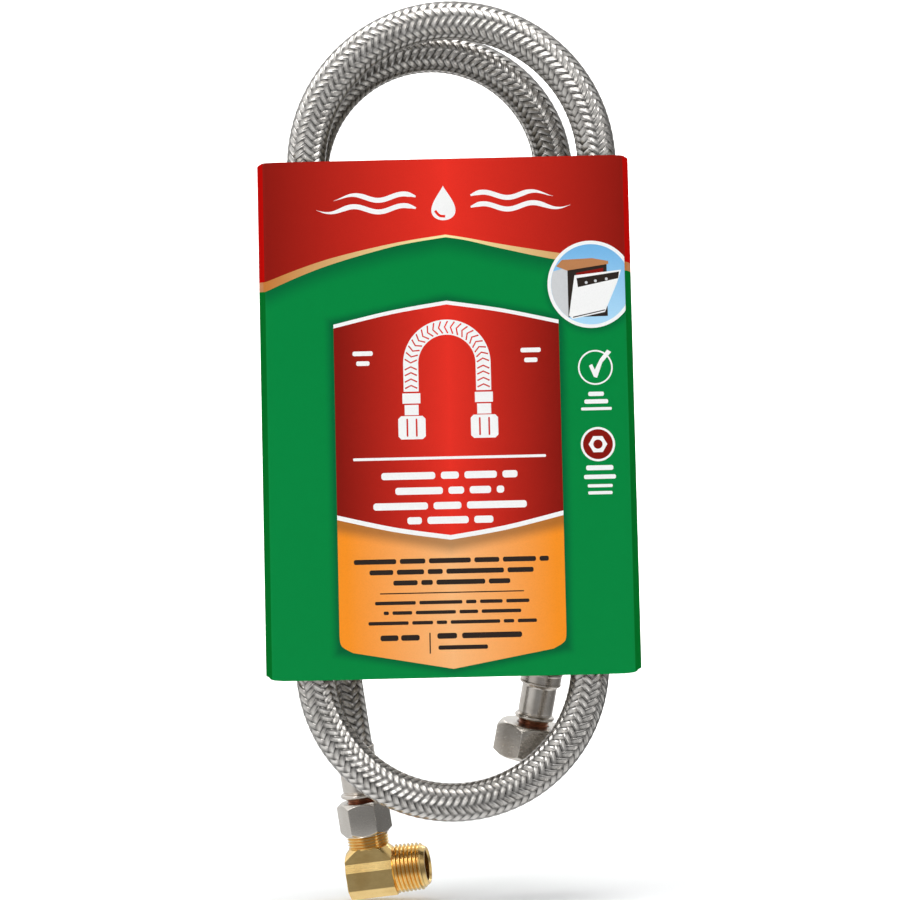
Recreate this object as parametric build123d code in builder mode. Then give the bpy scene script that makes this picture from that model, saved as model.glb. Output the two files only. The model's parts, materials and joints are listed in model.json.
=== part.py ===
"""Braided supply line: a coiled stainless steel braided hose, 48 inches face to face.

One end carries a 3/8 inch compression swivel nut with a 90 degree elbow screwed into it, the other a
1/2 inch FIP swivel nut. The coil is bundled in a folded card sleeve, open at its top and bottom.

Frame: +X to the right and +Z up as the printed face is read, and the printed face looks along -Y.
Heights of the coil are counted from coil_mid, which is lifted so that the lowest point of the elbow
stands at Z = 0. Each hose end is built along its own axis, and "reach" is the distance along that
axis from the point where the end of the hose flexes, counted towards the nut.
"""

from build123d import *
import math
import os

# ---- frame ----------------------------------------------------------------------------------------
coil_mid = 155.732
layer_mid = -6.37
layer_gap = 14.0
front = layer_mid - layer_gap / 2
back = layer_mid + layer_gap / 2

# ---- hose -----------------------------------------------------------------------------------------
hose_radius = 6.7
braid_inner_radius = 6.0
tube_radius = 5.95
bore_radius = 4.5
socket_play = 0.05
socket_relief = 2.2
straight_length = 9.0

# ---- coil, centre lines of the three arcs that show, as (x, height) ---------------------------------
top_front_centre = (3.1, 97.4)
top_front_radius = 49.8
top_back_centre = (-3.9, 95.2)
top_back_radius = 42.3
bottom_centre = (-0.4, -73.6)
bottom_radius = 47.2

# ---- the two left runs turn round each other inside the sleeve --------------------------------------
twist_centre_x = -44.6
twist_spacing = 15.1
twist_heights = (-22.0, 20.0, 60.0)
twist_angles = (25.0, -16.0, -56.0)

# ---- card sleeve ----------------------------------------------------------------------------------
sleeve_width = 128.8
sleeve_depth = 34.2
sleeve_height = 176.8
sleeve_bottom = -77.5
sleeve_offset_y = 2.78
card = 0.45
fold_radius = 5.0
lap_width = 14.0

# ---- compression end --------------------------------------------------------------------------------
comp_flex_point = (-40.8, back, -61.6)
comp_lean = 7.5
comp_tilt = 5.0
comp_ferrule_start = 41.0
comp_ferrule_end = 59.0
comp_neck_radius = 5.0
comp_bead_radius = 6.95
comp_nut_start = 60.2
comp_nut_length = 11.6
comp_nut_flats = 15.9
comp_nut_turn = 4.2
comp_nut_wall = 2.0
comp_flange_radius = 6.3
comp_flange = 1.2
comp_nose_radius = 3.45
comp_washer_end = 67.1
washer_cone_radius = 6.0
nose_beyond = 0.4

# ---- elbow, heights counted along the leg from the crossing of leg and outlet -----------------------
elbow_reach = 85.5
elbow_turn = 9.0
leg_radius = 7.14
leg_mouth = 19.5
leg_root_radius = 6.45
leg_shoulder = 9.4
shoulder_reach = 7.4
leg_bore_radius = 4.15
mouth_cone_radius = 5.66
bar_back = 8.2
bar_front = 8.4
bar_half_width = 8.0
outlet_radius = 8.3
outlet_root_radius = 7.2
outlet_root_end = 8.9
outlet_start = 9.6
outlet_end = 19.6
outlet_bore_radius = 5.4
outlet_chamfer = 1.2
bore_chamfer = 0.6
leg_chamfer = 0.5
leg_drill_tip = 3.0
outlet_drill_end = 2.0
outlet_drill_tip = 5.0

# ---- FIP end ----------------------------------------------------------------------------------------
fip_flex_point = (37.1, -0.07, -44.7)
fip_lean = -11.0
fip_tilt = 8.0
fip_ferrule_start = 33.4
fip_ferrule_end = 51.0
fip_neck_radius = 5.45
fip_bead_radius = 6.95
fip_nut_start = 52.4
fip_nut_length = 12.0
fip_nut_flats = 22.2
fip_nut_turn = -12.0
fip_nut_wall = 2.0
fip_flange_radius = 9.0
fip_flange = 1.2
fip_nose_radius = 4.9
fip_washer_thickness = 2.5
fip_washer_radius = 9.5
fip_washer_chamfer = 1.1
nose_setback = 0.8
fip_thread_radius = 10.0
fip_relief_radius = 10.35

# ---- shared by both ends ----------------------------------------------------------------------------
collar_radius = 7.1
collar_length = 4.7
crimp_radius = 6.05
ferrule_wall = 0.4
crimped_tube_radius = 5.2
insert_radius = 4.3
stem_bore_radius = 3.2
nose_bore_radius = 2.7
ferrule_play = 0.06
ferrule_rim = 0.15
ferrule_lip = 1.4
bead_length = 2.3
bead_land = 0.3
crimp_lead_in = 1.2
crimp_lead_out = 0.6
insert_depth = 3.0
hose_stop_back = 1.6
insert_taper = 0.4
neck_groove = 0.4
neck_pitch = 1.1
rest_gap = 0.05
nut_play = 0.15
comp_thread_play = 0.06
comp_mouth_chamfer = 0.4
fip_mouth_chamfer = 0.6
face_recess = 0.4
comp_corner_cut = 1.5
fip_corner_cut = 1.7
ball_half_angle = 24.0
# how far a cut runs past the face it opens
overrun = 1.0


class HoseEnd:
    """The straight last stretch of the hose: its flex point, its axis and the planes it is built on."""

    def __init__(self, flex_point, lean, tilt):
        x, y, height = flex_point
        self.flex_point = Vector(x, y, height + coil_mid)
        self.direction = Vector(
            math.tan(math.radians(lean)),
            math.tan(math.radians(tilt)),
            -1,
        ).normalized()
        self.axis = Axis(self.flex_point, self.direction)
        side = Vector(1, 0, 0) - self.direction * self.direction.X
        self.side = side.normalized()
        # local x is the radius and local y the reach
        self.section = Plane(
            origin=self.flex_point,
            x_dir=self.side,
            z_dir=self.side.cross(self.direction),
        )

    def point(self, reach):
        return self.flex_point + self.direction * reach

    def across(self, reach):
        """The plane square to the axis at this reach, looking towards the nut."""
        return Plane(origin=self.point(reach), x_dir=self.side, z_dir=self.direction)


comp = HoseEnd(comp_flex_point, comp_lean, comp_tilt)
fip = HoseEnd(fip_flex_point, fip_lean, fip_tilt)


def turned(end, outline):
    """A ring turned about the end's axis from an outline of (radius, reach) corners."""
    with BuildPart() as ring:
        with BuildSketch(end.section):
            with BuildLine():
                Polyline(*outline, close=True)
            make_face()
        revolve(axis=end.axis)
    return ring.part


def arc_ends(centre, radius, y, height_sign):
    """Left end, outermost point and right end of a half circle in a coil layer."""
    x, height = centre
    z = height + coil_mid
    left = Vector(x - radius, y, z)
    outermost = Vector(x, y, z + height_sign * radius)
    right = Vector(x + radius, y, z)
    return left, outermost, right


def twist_points(side_sign):
    """Points of one left run: side_sign is +1 for the compression run and -1 for the run beside it."""
    points = []
    for height, angle in zip(twist_heights, twist_angles):
        away = side_sign * twist_spacing / 2
        points.append(
            Vector(
                twist_centre_x + away * math.cos(math.radians(angle)),
                layer_mid + away * math.sin(math.radians(angle)),
                height + coil_mid,
            )
        )
    return points


# ---- centre line of the hose between its two flex points ---------------------------------------------
up = Vector(0, 0, 1)
down = Vector(0, 0, -1)
front_left, front_top, front_right = arc_ends(top_front_centre, top_front_radius, front, 1)
back_left, back_top, back_right = arc_ends(top_back_centre, top_back_radius, back, 1)
low_left, low_bottom, low_right = arc_ends(bottom_centre, bottom_radius, front, -1)

comp_start = comp.point(-socket_relief)
comp_bend = comp.point(-straight_length)
fip_bend = fip.point(-straight_length)
fip_start = fip.point(-socket_relief)

with BuildLine() as hose_line:
    Line(comp_start, comp_bend)
    Spline(comp_bend, *twist_points(1), front_left, tangents=(comp.direction * -1, up))
    ThreePointArc(front_left, front_top, front_right)
    Spline(front_right, low_right, tangents=(down, down))
    ThreePointArc(low_right, low_bottom, low_left)
    Spline(low_left, *twist_points(-1), back_left, tangents=(up, up))
    ThreePointArc(back_left, back_top, back_right)
    Spline(back_right, fip_bend, tangents=(down, fip.direction))
    Line(fip_bend, fip_start)

hose_path = hose_line.wires()[0]
start_plane = Plane(origin=comp_start, x_dir=comp.side, z_dir=comp.direction * -1)

# The long run of the hose: steel braid over a PVC tube. Its two ends are hollowed as ball sockets.
with BuildPart() as braid_main:
    with BuildSketch(start_plane):
        Circle(hose_radius)
        Circle(braid_inner_radius, mode=Mode.SUBTRACT)
    sweep(path=hose_path)
    with Locations(comp.flex_point, fip.flex_point):
        Sphere(hose_radius + socket_play, mode=Mode.SUBTRACT)

with BuildPart() as tube_main:
    with BuildSketch(start_plane):
        Circle(tube_radius)
        Circle(bore_radius, mode=Mode.SUBTRACT)
    sweep(path=hose_path)
    with Locations(comp.flex_point, fip.flex_point):
        Sphere(hose_radius + socket_play, mode=Mode.SUBTRACT)


# ---- pieces that both ends have -----------------------------------------------------------------------
def braid_end(end, ferrule_start, ferrule_end):
    """The last stretch of braid, drawn in where the ferrule is crimped over it."""
    crimp_start = ferrule_start + collar_length
    crimped_outer = crimp_radius - ferrule_wall - rest_gap
    crimped_inner = crimped_tube_radius + rest_gap
    hose_stop = ferrule_end - hose_stop_back
    return turned(
        end,
        [
            (braid_inner_radius, 0),
            (hose_radius, 0),
            (hose_radius, crimp_start - crimp_lead_in),
            (crimped_outer, crimp_start + crimp_lead_out),
            (crimped_outer, hose_stop),
            (crimped_inner, hose_stop),
            (crimped_inner, crimp_start + crimp_lead_out),
            (braid_inner_radius, crimp_start - crimp_lead_in),
        ],
    )


def tube_end(end, ferrule_start, ferrule_end):
    """The last stretch of the inner tube, with the ball head it flexes on at the flex point."""
    crimp_start = ferrule_start + collar_length
    hose_stop = ferrule_end - hose_stop_back
    ball = hose_radius - rest_gap
    ball_top = math.sqrt(ball**2 - bore_radius**2)
    half_way = ball * math.cos(math.radians(ball_half_angle))
    half_way_up = ball * math.sin(math.radians(ball_half_angle))
    with BuildPart() as tube:
        with BuildSketch(end.section):
            with BuildLine():
                Line((bore_radius, hose_stop), (bore_radius, -ball_top))
                ThreePointArc((bore_radius, -ball_top), (half_way, -half_way_up), (ball, -rest_gap))
                Polyline(
                    (ball, -rest_gap),
                    (tube_radius, -rest_gap),
                    (tube_radius, crimp_start - crimp_lead_in),
                    (crimped_tube_radius, crimp_start + crimp_lead_out),
                    (crimped_tube_radius, hose_stop),
                    (bore_radius, hose_stop),
                )
            make_face()
        revolve(axis=end.axis)
    return tube.part


def ferrule(end, start, stop, bead_radius):
    """Crimped steel ferrule: a bell over the full hose, the crimp, and a rolled bead at the nut side."""
    bell = start + collar_length
    bead = stop - bead_length
    bead_stop = stop - bead_land
    bell_inner = collar_radius - ferrule_wall + ferrule_play
    crimp_inner = crimp_radius - ferrule_wall
    with BuildPart() as shell:
        with BuildSketch(end.section):
            with BuildLine():
                Polyline(
                    (bell_inner, start),
                    (collar_radius, start),
                    (collar_radius + ferrule_rim, start + 0.6),
                    (collar_radius, start + 1.2),
                    (collar_radius, bell - 0.7),
                    (crimp_radius, bell + 0.9),
                    (crimp_radius, bead),
                )
                ThreePointArc(
                    (crimp_radius, bead),
                    (bead_radius, (bead + bead_stop) / 2),
                    (crimp_radius, bead_stop),
                )
                Polyline(
                    (crimp_radius, bead_stop),
                    (crimp_radius - bead_land, stop),
                    (insert_radius + rest_gap, stop),
                    (insert_radius + rest_gap, stop - ferrule_lip),
                    (crimp_inner, stop - ferrule_lip),
                    (crimp_inner, bell + 1.1),
                    (bell_inner, bell - 0.5),
                    (bell_inner, start),
                )
            make_face()
        revolve(axis=end.axis)
    return shell.part


def stem(end, insert_start, ferrule_stop, neck_radius, nut_inside, flange_radius, flange, nose):
    """Turned stem: insert inside the hose, ringed neck, flange that holds the nut, and nose."""
    nose_radius, nose_end = nose
    neck_start = ferrule_stop + rest_gap
    flange_start = nut_inside + rest_gap
    neck_root = neck_radius - neck_groove
    outline = [
        (stem_bore_radius, insert_start),
        (insert_radius - insert_taper, insert_start),
        (insert_radius, insert_start + 2 * insert_taper),
        (insert_radius, neck_start),
        (neck_radius, neck_start),
    ]
    rings = int((flange_start - neck_start) / neck_pitch)
    for ring in range(rings):
        ring_start = neck_start + ring * neck_pitch
        outline += [
            (neck_radius, ring_start + 0.45 * neck_pitch),
            (neck_root, ring_start + 0.65 * neck_pitch),
            (neck_root, ring_start + 0.8 * neck_pitch),
            (neck_radius, ring_start + neck_pitch),
        ]
    outline += [
        (neck_radius, flange_start),
        (flange_radius, flange_start),
        (flange_radius, flange_start + flange),
        (nose_radius, flange_start + flange),
        (nose_radius, nose_end),
        (nose_bore_radius, nose_end),
        (nose_bore_radius, neck_start),
        (stem_bore_radius, neck_start - 1),
    ]
    return turned(end, outline)


def hex_nut(end, start, length, flats, turn, corner_cut):
    """A plain hexagonal nut blank along the end's axis, its corners turned off at both faces."""
    corner = flats / 2 / math.cos(math.radians(30))
    stop = start + length
    with BuildPart() as blank:
        with BuildSketch(end.across(start)):
            RegularPolygon(flats / 2, 6, major_radius=False, rotation=turn)
        extrude(amount=length)
        with BuildSketch(end.section):
            with BuildLine():
                Polyline(
                    (0, start),
                    (flats / 2 - face_recess, start),
                    (corner, start + corner_cut),
                    (corner, stop - corner_cut),
                    (flats / 2 - face_recess, stop),
                    (0, stop),
                    close=True,
                )
            make_face()
        revolve(axis=end.axis, mode=Mode.INTERSECT)
    return blank.part


# ---- compression end ----------------------------------------------------------------------------------
comp_nut_stop = comp_nut_start + comp_nut_length
comp_inside = comp_nut_start + comp_nut_wall
comp_flange_stop = comp_inside + rest_gap + comp_flange

braid_comp_end = braid_end(comp, comp_ferrule_start, comp_ferrule_end)
tube_comp_end = tube_end(comp, comp_ferrule_start, comp_ferrule_end)
comp_ferrule = ferrule(comp, comp_ferrule_start, comp_ferrule_end, comp_bead_radius)
comp_stem = stem(
    comp,
    comp_ferrule_start + insert_depth,
    comp_ferrule_end,
    comp_neck_radius,
    comp_inside,
    comp_flange_radius,
    comp_flange,
    (comp_nose_radius, comp_washer_end + nose_beyond),
)

# The nut turns on the stem's neck behind its flange and draws the elbow's leg up against the washer.
comp_bore = leg_radius + comp_thread_play
with BuildPart() as comp_nut:
    add(hex_nut(comp, comp_nut_start, comp_nut_length, comp_nut_flats, comp_nut_turn, comp_corner_cut))
    with BuildSketch(comp.section):
        with BuildLine():
            Polyline(
                (0, comp_nut_start - overrun),
                (comp_neck_radius + nut_play, comp_nut_start - overrun),
                (comp_neck_radius + nut_play, comp_inside),
                (comp_bore, comp_inside),
                (comp_bore, comp_nut_stop - comp_mouth_chamfer),
                (comp_bore + comp_mouth_chamfer, comp_nut_stop),
                (comp_bore + comp_mouth_chamfer, comp_nut_stop + overrun),
                (0, comp_nut_stop + overrun),
                close=True,
            )
        make_face()
    revolve(axis=comp.axis, mode=Mode.SUBTRACT)

# Rubber cone washer on the stem's nose, seated in the cone of the leg's mouth.
washer_top = comp_flange_stop + rest_gap
washer_cone_start = elbow_reach - leg_mouth - (washer_cone_radius - mouth_cone_radius) - rest_gap
comp_washer = turned(
    comp,
    [
        (comp_nose_radius + rest_gap, washer_top),
        (washer_cone_radius, washer_top),
        (washer_cone_radius, washer_cone_start),
        (washer_cone_radius - (comp_washer_end - washer_cone_start), comp_washer_end),
        (comp_nose_radius + rest_gap, comp_washer_end),
    ],
)

# ---- brass elbow ----------------------------------------------------------------------------------------
leg_up = comp.direction * -1
outlet_direction = comp.side.rotate(comp.axis, elbow_turn)
elbow_centre = comp.point(elbow_reach)
leg_axis = Axis(elbow_centre, leg_up)
outlet_axis = Axis(elbow_centre, outlet_direction)
bar_end = Plane(
    origin=elbow_centre - outlet_direction * bar_back,
    x_dir=leg_up.cross(outlet_direction),
    z_dir=outlet_direction,
)
# local x is the radius, local y the height along the leg, or the distance along the outlet
leg_section = Plane(
    origin=elbow_centre,
    x_dir=outlet_direction,
    z_dir=outlet_direction.cross(leg_up),
)
outlet_section = Plane(
    origin=elbow_centre,
    x_dir=leg_up,
    z_dir=leg_up.cross(outlet_direction),
)
bar_corners = [
    (6.0, leg_shoulder),
    (6.9, 4.6),
    (bar_half_width, 1.7),
    (bar_half_width, -4.8),
    (4.2, -8.4),
]
# the section of the bar the elbow is cut from, symmetrical about the leg
bar_outline = bar_corners + [(-x, y) for x, y in reversed(bar_corners)]

with BuildPart() as elbow:
    with BuildSketch(bar_end):
        with BuildLine():
            Polyline(*bar_outline, close=True)
        make_face()
    extrude(amount=bar_back + bar_front)
    # the top of the bar is turned to a 45 degree cone round the leg
    with BuildSketch(leg_section):
        with BuildLine():
            Polyline(
                (0, -2 * bar_half_width),
                (leg_root_radius + shoulder_reach, -2 * bar_half_width),
                (leg_root_radius + shoulder_reach, leg_shoulder - shoulder_reach),
                (leg_root_radius, leg_shoulder),
                (0, leg_shoulder),
                close=True,
            )
        make_face()
    revolve(axis=leg_axis, mode=Mode.INTERSECT)
    # leg
    with BuildSketch(leg_section):
        with BuildLine():
            Polyline(
                (0, 0),
                (leg_root_radius, 0),
                (leg_root_radius, leg_shoulder),
                (leg_radius, leg_shoulder + leg_chamfer),
                (leg_radius, leg_mouth - leg_chamfer),
                (leg_radius - leg_chamfer, leg_mouth),
                (0, leg_mouth),
                close=True,
            )
        make_face()
    revolve(axis=leg_axis)
    # outlet
    with BuildSketch(outlet_section):
        with BuildLine():
            Polyline(
                (0, 0),
                (outlet_root_radius, 0),
                (outlet_root_radius, outlet_root_end),
                (outlet_radius, outlet_start),
                (outlet_radius, outlet_end - outlet_chamfer),
                (outlet_radius - outlet_chamfer, outlet_end),
                (0, outlet_end),
                close=True,
            )
        make_face()
    revolve(axis=outlet_axis)
    # waterway, with the cone seat in the leg's mouth
    with BuildSketch(leg_section):
        with BuildLine():
            Polyline(
                (0, -leg_drill_tip),
                (leg_bore_radius, 0),
                (leg_bore_radius, leg_mouth - (mouth_cone_radius - leg_bore_radius)),
                (mouth_cone_radius, leg_mouth),
                (mouth_cone_radius, leg_mouth + overrun),
                (0, leg_mouth + overrun),
                close=True,
            )
        make_face()
    revolve(axis=leg_axis, mode=Mode.SUBTRACT)
    with BuildSketch(outlet_section):
        with BuildLine():
            Polyline(
                (0, -outlet_drill_tip),
                (outlet_bore_radius, -outlet_drill_end),
                (outlet_bore_radius, outlet_end - bore_chamfer),
                (outlet_bore_radius + bore_chamfer, outlet_end),
                (outlet_bore_radius + bore_chamfer, outlet_end + overrun),
                (0, outlet_end + overrun),
                close=True,
            )
        make_face()
    revolve(axis=outlet_axis, mode=Mode.SUBTRACT)

# ---- FIP end --------------------------------------------------------------------------------------------
fip_nut_stop = fip_nut_start + fip_nut_length
fip_inside = fip_nut_start + fip_nut_wall
fip_flange_stop = fip_inside + rest_gap + fip_flange
fip_washer_start = fip_flange_stop + rest_gap
fip_washer_stop = fip_washer_start + fip_washer_thickness

braid_fip_end = braid_end(fip, fip_ferrule_start, fip_ferrule_end)
tube_fip_end = tube_end(fip, fip_ferrule_start, fip_ferrule_end)
fip_ferrule = ferrule(fip, fip_ferrule_start, fip_ferrule_end, fip_bead_radius)
fip_stem = stem(
    fip,
    fip_ferrule_start + insert_depth,
    fip_ferrule_end,
    fip_neck_radius,
    fip_inside,
    fip_flange_radius,
    fip_flange,
    (fip_nose_radius, fip_washer_stop - nose_setback),
)

# The cavity is relieved around flange and washer, and its threaded wall runs from there to the mouth.
with BuildPart() as fip_nut:
    add(hex_nut(fip, fip_nut_start, fip_nut_length, fip_nut_flats, fip_nut_turn, fip_corner_cut))
    with BuildSketch(fip.section):
        with BuildLine():
            Polyline(
                (0, fip_nut_start - overrun),
                (fip_neck_radius + nut_play, fip_nut_start - overrun),
                (fip_neck_radius + nut_play, fip_inside),
                (fip_relief_radius, fip_inside),
                (fip_relief_radius, fip_washer_stop),
                (fip_thread_radius, fip_washer_stop + 0.2),
                (fip_thread_radius, fip_nut_stop - fip_mouth_chamfer),
                (fip_thread_radius + fip_mouth_chamfer, fip_nut_stop),
                (fip_thread_radius + fip_mouth_chamfer, fip_nut_stop + overrun),
                (0, fip_nut_stop + overrun),
                close=True,
            )
        make_face()
    revolve(axis=fip.axis, mode=Mode.SUBTRACT)

# Rubber washer that seals against the end of the inlet pipe.
fip_washer = turned(
    fip,
    [
        (fip_nose_radius + rest_gap, fip_washer_start),
        (fip_washer_radius, fip_washer_start),
        (fip_washer_radius, fip_washer_stop - fip_washer_chamfer),
        (fip_washer_radius - fip_washer_chamfer, fip_washer_stop),
        (fip_nose_radius + rest_gap, fip_washer_stop),
    ],
)

# ---- card sleeve ----------------------------------------------------------------------------------------
# One sheet folded round the coil, with a glued lap on the inside of the back panel.
back_panel_inside = sleeve_depth / 2 - card
with BuildPart() as card_sleeve:
    with BuildSketch(Plane((0, layer_mid + sleeve_offset_y, sleeve_bottom + coil_mid))):
        RectangleRounded(sleeve_width, sleeve_depth, fold_radius)
        RectangleRounded(
            sleeve_width - 2 * card,
            sleeve_depth - 2 * card,
            fold_radius - card,
            mode=Mode.SUBTRACT,
        )
        with Locations((-sleeve_width / 4, back_panel_inside - card / 2)):
            Rectangle(lap_width, card)
    extrude(amount=sleeve_height)

# ---- write one file for each piece ----------------------------------------------------------------------
pieces = {
    "braid_main": braid_main.part,
    "tube_main": tube_main.part,
    "braid_comp_end": braid_comp_end,
    "tube_comp_end": tube_comp_end,
    "comp_ferrule": comp_ferrule,
    "comp_stem": comp_stem,
    "comp_washer": comp_washer,
    "comp_nut": comp_nut.part,
    "elbow": elbow.part,
    "braid_fip_end": braid_fip_end,
    "tube_fip_end": tube_fip_end,
    "fip_ferrule": fip_ferrule,
    "fip_stem": fip_stem,
    "fip_washer": fip_washer,
    "fip_nut": fip_nut.part,
    "card_sleeve": card_sleeve.part,
}
os.makedirs("parts", exist_ok=True)
for name, piece in pieces.items():
    piece.label = name
    export_step(piece, f"parts/{name}.step")
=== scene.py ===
import json
import math

import bmesh
import bpy
import numpy as np
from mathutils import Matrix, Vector
from mathutils.bvhtree import BVHTree
from mathutils.geometry import delaunay_2d_cdt


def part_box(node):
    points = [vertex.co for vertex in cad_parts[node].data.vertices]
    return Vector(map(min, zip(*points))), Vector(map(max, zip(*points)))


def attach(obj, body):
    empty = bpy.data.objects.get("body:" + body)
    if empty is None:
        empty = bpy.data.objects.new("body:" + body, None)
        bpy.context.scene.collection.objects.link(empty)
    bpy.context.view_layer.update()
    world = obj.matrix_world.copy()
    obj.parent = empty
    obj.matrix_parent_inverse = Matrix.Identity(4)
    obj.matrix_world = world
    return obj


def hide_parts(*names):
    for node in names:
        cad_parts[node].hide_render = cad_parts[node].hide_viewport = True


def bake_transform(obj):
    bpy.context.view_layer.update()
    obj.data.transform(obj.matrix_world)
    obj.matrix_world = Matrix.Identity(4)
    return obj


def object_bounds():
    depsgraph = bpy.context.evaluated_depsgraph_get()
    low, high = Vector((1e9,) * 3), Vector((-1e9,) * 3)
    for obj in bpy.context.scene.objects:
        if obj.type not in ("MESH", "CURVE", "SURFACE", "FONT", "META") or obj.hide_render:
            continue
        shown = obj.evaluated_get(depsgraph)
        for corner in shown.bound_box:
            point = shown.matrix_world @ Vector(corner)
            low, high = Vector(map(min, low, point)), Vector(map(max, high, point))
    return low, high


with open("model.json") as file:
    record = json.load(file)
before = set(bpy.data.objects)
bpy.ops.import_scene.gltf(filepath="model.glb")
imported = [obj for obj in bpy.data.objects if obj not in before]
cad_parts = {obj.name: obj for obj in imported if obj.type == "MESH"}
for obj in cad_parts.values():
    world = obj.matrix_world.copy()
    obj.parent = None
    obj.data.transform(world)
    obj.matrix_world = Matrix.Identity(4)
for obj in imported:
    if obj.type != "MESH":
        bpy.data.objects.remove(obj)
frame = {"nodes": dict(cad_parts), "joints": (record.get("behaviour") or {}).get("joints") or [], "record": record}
cad_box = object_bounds()
joints = {j["name"]: j for j in frame["joints"]}
mounts = {m["name"]: m for m in frame["record"]["mounts"]}
MM = 0.001
TAU = 2 * math.pi
PITCH_24 = 1.058  # 24, 18 and 14 threads to the inch
PITCH_18 = 1.411
PITCH_14 = 1.814
NPT_TAPER = 1 / 32  # on the radius


# ---------------------------------------------------------------- small geometry helpers
def unit(v):
    v = np.asarray(v, float)
    return v / np.linalg.norm(v)


def node_points(node):
    return np.array([v.co for v in frame["nodes"][node].data.vertices], float)


class Axial:
    """Cylinder coordinates about an axis: radius and height in mm, angle in radians from `side`."""

    def __init__(self, origin, axis, side):
        self.origin = np.array(origin, float)
        self.axis = unit(axis)
        side = np.array(side, float)
        self.side = unit(side - self.axis * (side @ self.axis))
        self.other = np.cross(self.axis, self.side)

    def place(self, r, angle, t):
        r, angle, t = np.broadcast_arrays(r, angle, t)
        return self.origin + MM * (
            t[..., None] * self.axis
            + (r * np.cos(angle))[..., None] * self.side
            + (r * np.sin(angle))[..., None] * self.other
        )

    def measure(self, points):
        """Radius, angle and height of points, in mm and radians."""
        d = (points - self.origin) / MM
        t = d @ self.axis
        x, y = d @ self.side, d @ self.other
        return np.hypot(x, y), np.arctan2(y, x), t

    def span(self, node):
        t = self.measure(node_points(node))[2]
        return t.min(), t.max()


comp = Axial(joints["comp_end_flex"]["pos_m"], -np.array(joints["comp_nut_spin"]["axis"]), (1, 0, 0))
fip = Axial(joints["fip_end_flex"]["pos_m"], -np.array(joints["fip_nut_spin"]["axis"]), (1, 0, 0))


# ---------------------------------------------------------------- mesh building
class Builder:
    """Collects patches of vertices and faces, and makes one object of them."""

    def __init__(self):
        self.verts, self.faces, self.count = [], [], 0

    def patch(self, points, faces):
        points = np.asarray(points, float).reshape(-1, 3)
        self.verts.append(points)
        for f in faces:
            self.faces.append([i + self.count for i in f])
        self.count += len(points)

    def grid(self, points):
        """points[row, column]: rows run along, columns run round and close."""
        rows, cols = points.shape[:2]
        faces = [
            (r * cols + c, r * cols + (c + 1) % cols, (r + 1) * cols + (c + 1) % cols, (r + 1) * cols + c)
            for r in range(rows - 1)
            for c in range(cols)
        ]
        self.patch(points, faces)

    def lathe(self, ax, outline, angles, closed=False, shape=None):
        """A turned surface from (radius, height) corners. shape(r, angle, t) may change the radius."""
        outline = list(outline) + ([outline[0]] if closed else [])
        r = np.array([p[0] for p in outline], float)[:, None] + 0 * angles[None, :]
        t = np.array([p[1] for p in outline], float)[:, None] + 0 * angles[None, :]
        a = np.broadcast_to(angles[None, :], r.shape)
        if shape is not None:
            r = shape(r, a, t)
        self.grid(ax.place(r, a, t))

    def thread(self, ax, angles, start, stop, pitch, profile, limit):
        """A helical surface from start to stop. profile is a list of (share of a pitch, radius), and
        limit(t, r) gives the radius allowed at height t, so that the thread runs out at its ends."""
        per = len(profile)
        turns = int(math.ceil((stop - start) / pitch)) + 3
        rows = turns * per
        cols = len(angles)
        share = np.array([(k // per) + profile[k % per][0] for k in range(rows)])[:, None]
        radius = np.array([profile[k % per][1] for k in range(rows)])[:, None]
        lead = (angles[None, :] - angles[0]) / TAU
        t_free = start + pitch * (share - 1.5 + lead)
        t = np.clip(t_free, start, stop)
        r = limit(t, np.broadcast_to(radius, t.shape))
        points = ax.place(r, np.broadcast_to(angles[None, :], t.shape), t)
        faces = []
        for c in range(cols):
            n = (c + 1) % cols
            shift = per if n == 0 else 0  # the last column joins the first one turn further on
            for k in range(rows - 1 - shift):
                a, b = k + shift, k + 1 + shift
                faces.append((k * cols + c, a * cols + n, b * cols + n, (k + 1) * cols + c))
        self.patch(points, faces)

    def finish(self, name, material, angle=35):
        weld = 2e-7
        mesh = bpy.data.meshes.new(name)
        mesh.from_pydata(np.concatenate(self.verts).tolist(), [], self.faces)
        mesh.materials.append(material)
        bm = bmesh.new()
        bm.from_mesh(mesh)
        bmesh.ops.remove_doubles(bm, verts=bm.verts, dist=weld)
        bmesh.ops.dissolve_degenerate(bm, edges=bm.edges, dist=weld)
        bmesh.ops.recalc_face_normals(bm, faces=bm.faces)
        bm.to_mesh(mesh)
        bm.free()
        return add_object(name, mesh, angle)


def add_object(name, mesh, angle=35):
    mesh.polygons.foreach_set("use_smooth", [True] * len(mesh.polygons))
    mesh.set_sharp_from_angle(angle=math.radians(angle))
    obj = bpy.data.objects.new(name, mesh)
    bpy.context.scene.collection.objects.link(obj)
    return obj


def applied(obj):
    """The object with its modifiers applied, as a fresh mesh."""
    graph = bpy.context.evaluated_depsgraph_get()
    mesh = bpy.data.meshes.new_from_object(obj.evaluated_get(graph))
    obj.modifiers.clear()
    obj.data = mesh
    return obj


def finished(obj, body, node):
    """The piece rides on a body, in the place of a CAD node, which it hides."""
    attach(obj, body)
    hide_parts(node)


def ring_angles(n):
    return TAU * np.arange(n) / n


# ---------------------------------------------------------------- materials
def node_material(name):
    m = bpy.data.materials.new(name)
    m.use_nodes = True
    return m, m.node_tree, m.node_tree.nodes["Principled BSDF"]


def add_node(tree, kind, **values):
    n = tree.nodes.new(kind)
    for key, value in values.items():
        if key in n.inputs:
            n.inputs[key].default_value = value
        else:
            setattr(n, key, value)
    return n


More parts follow.
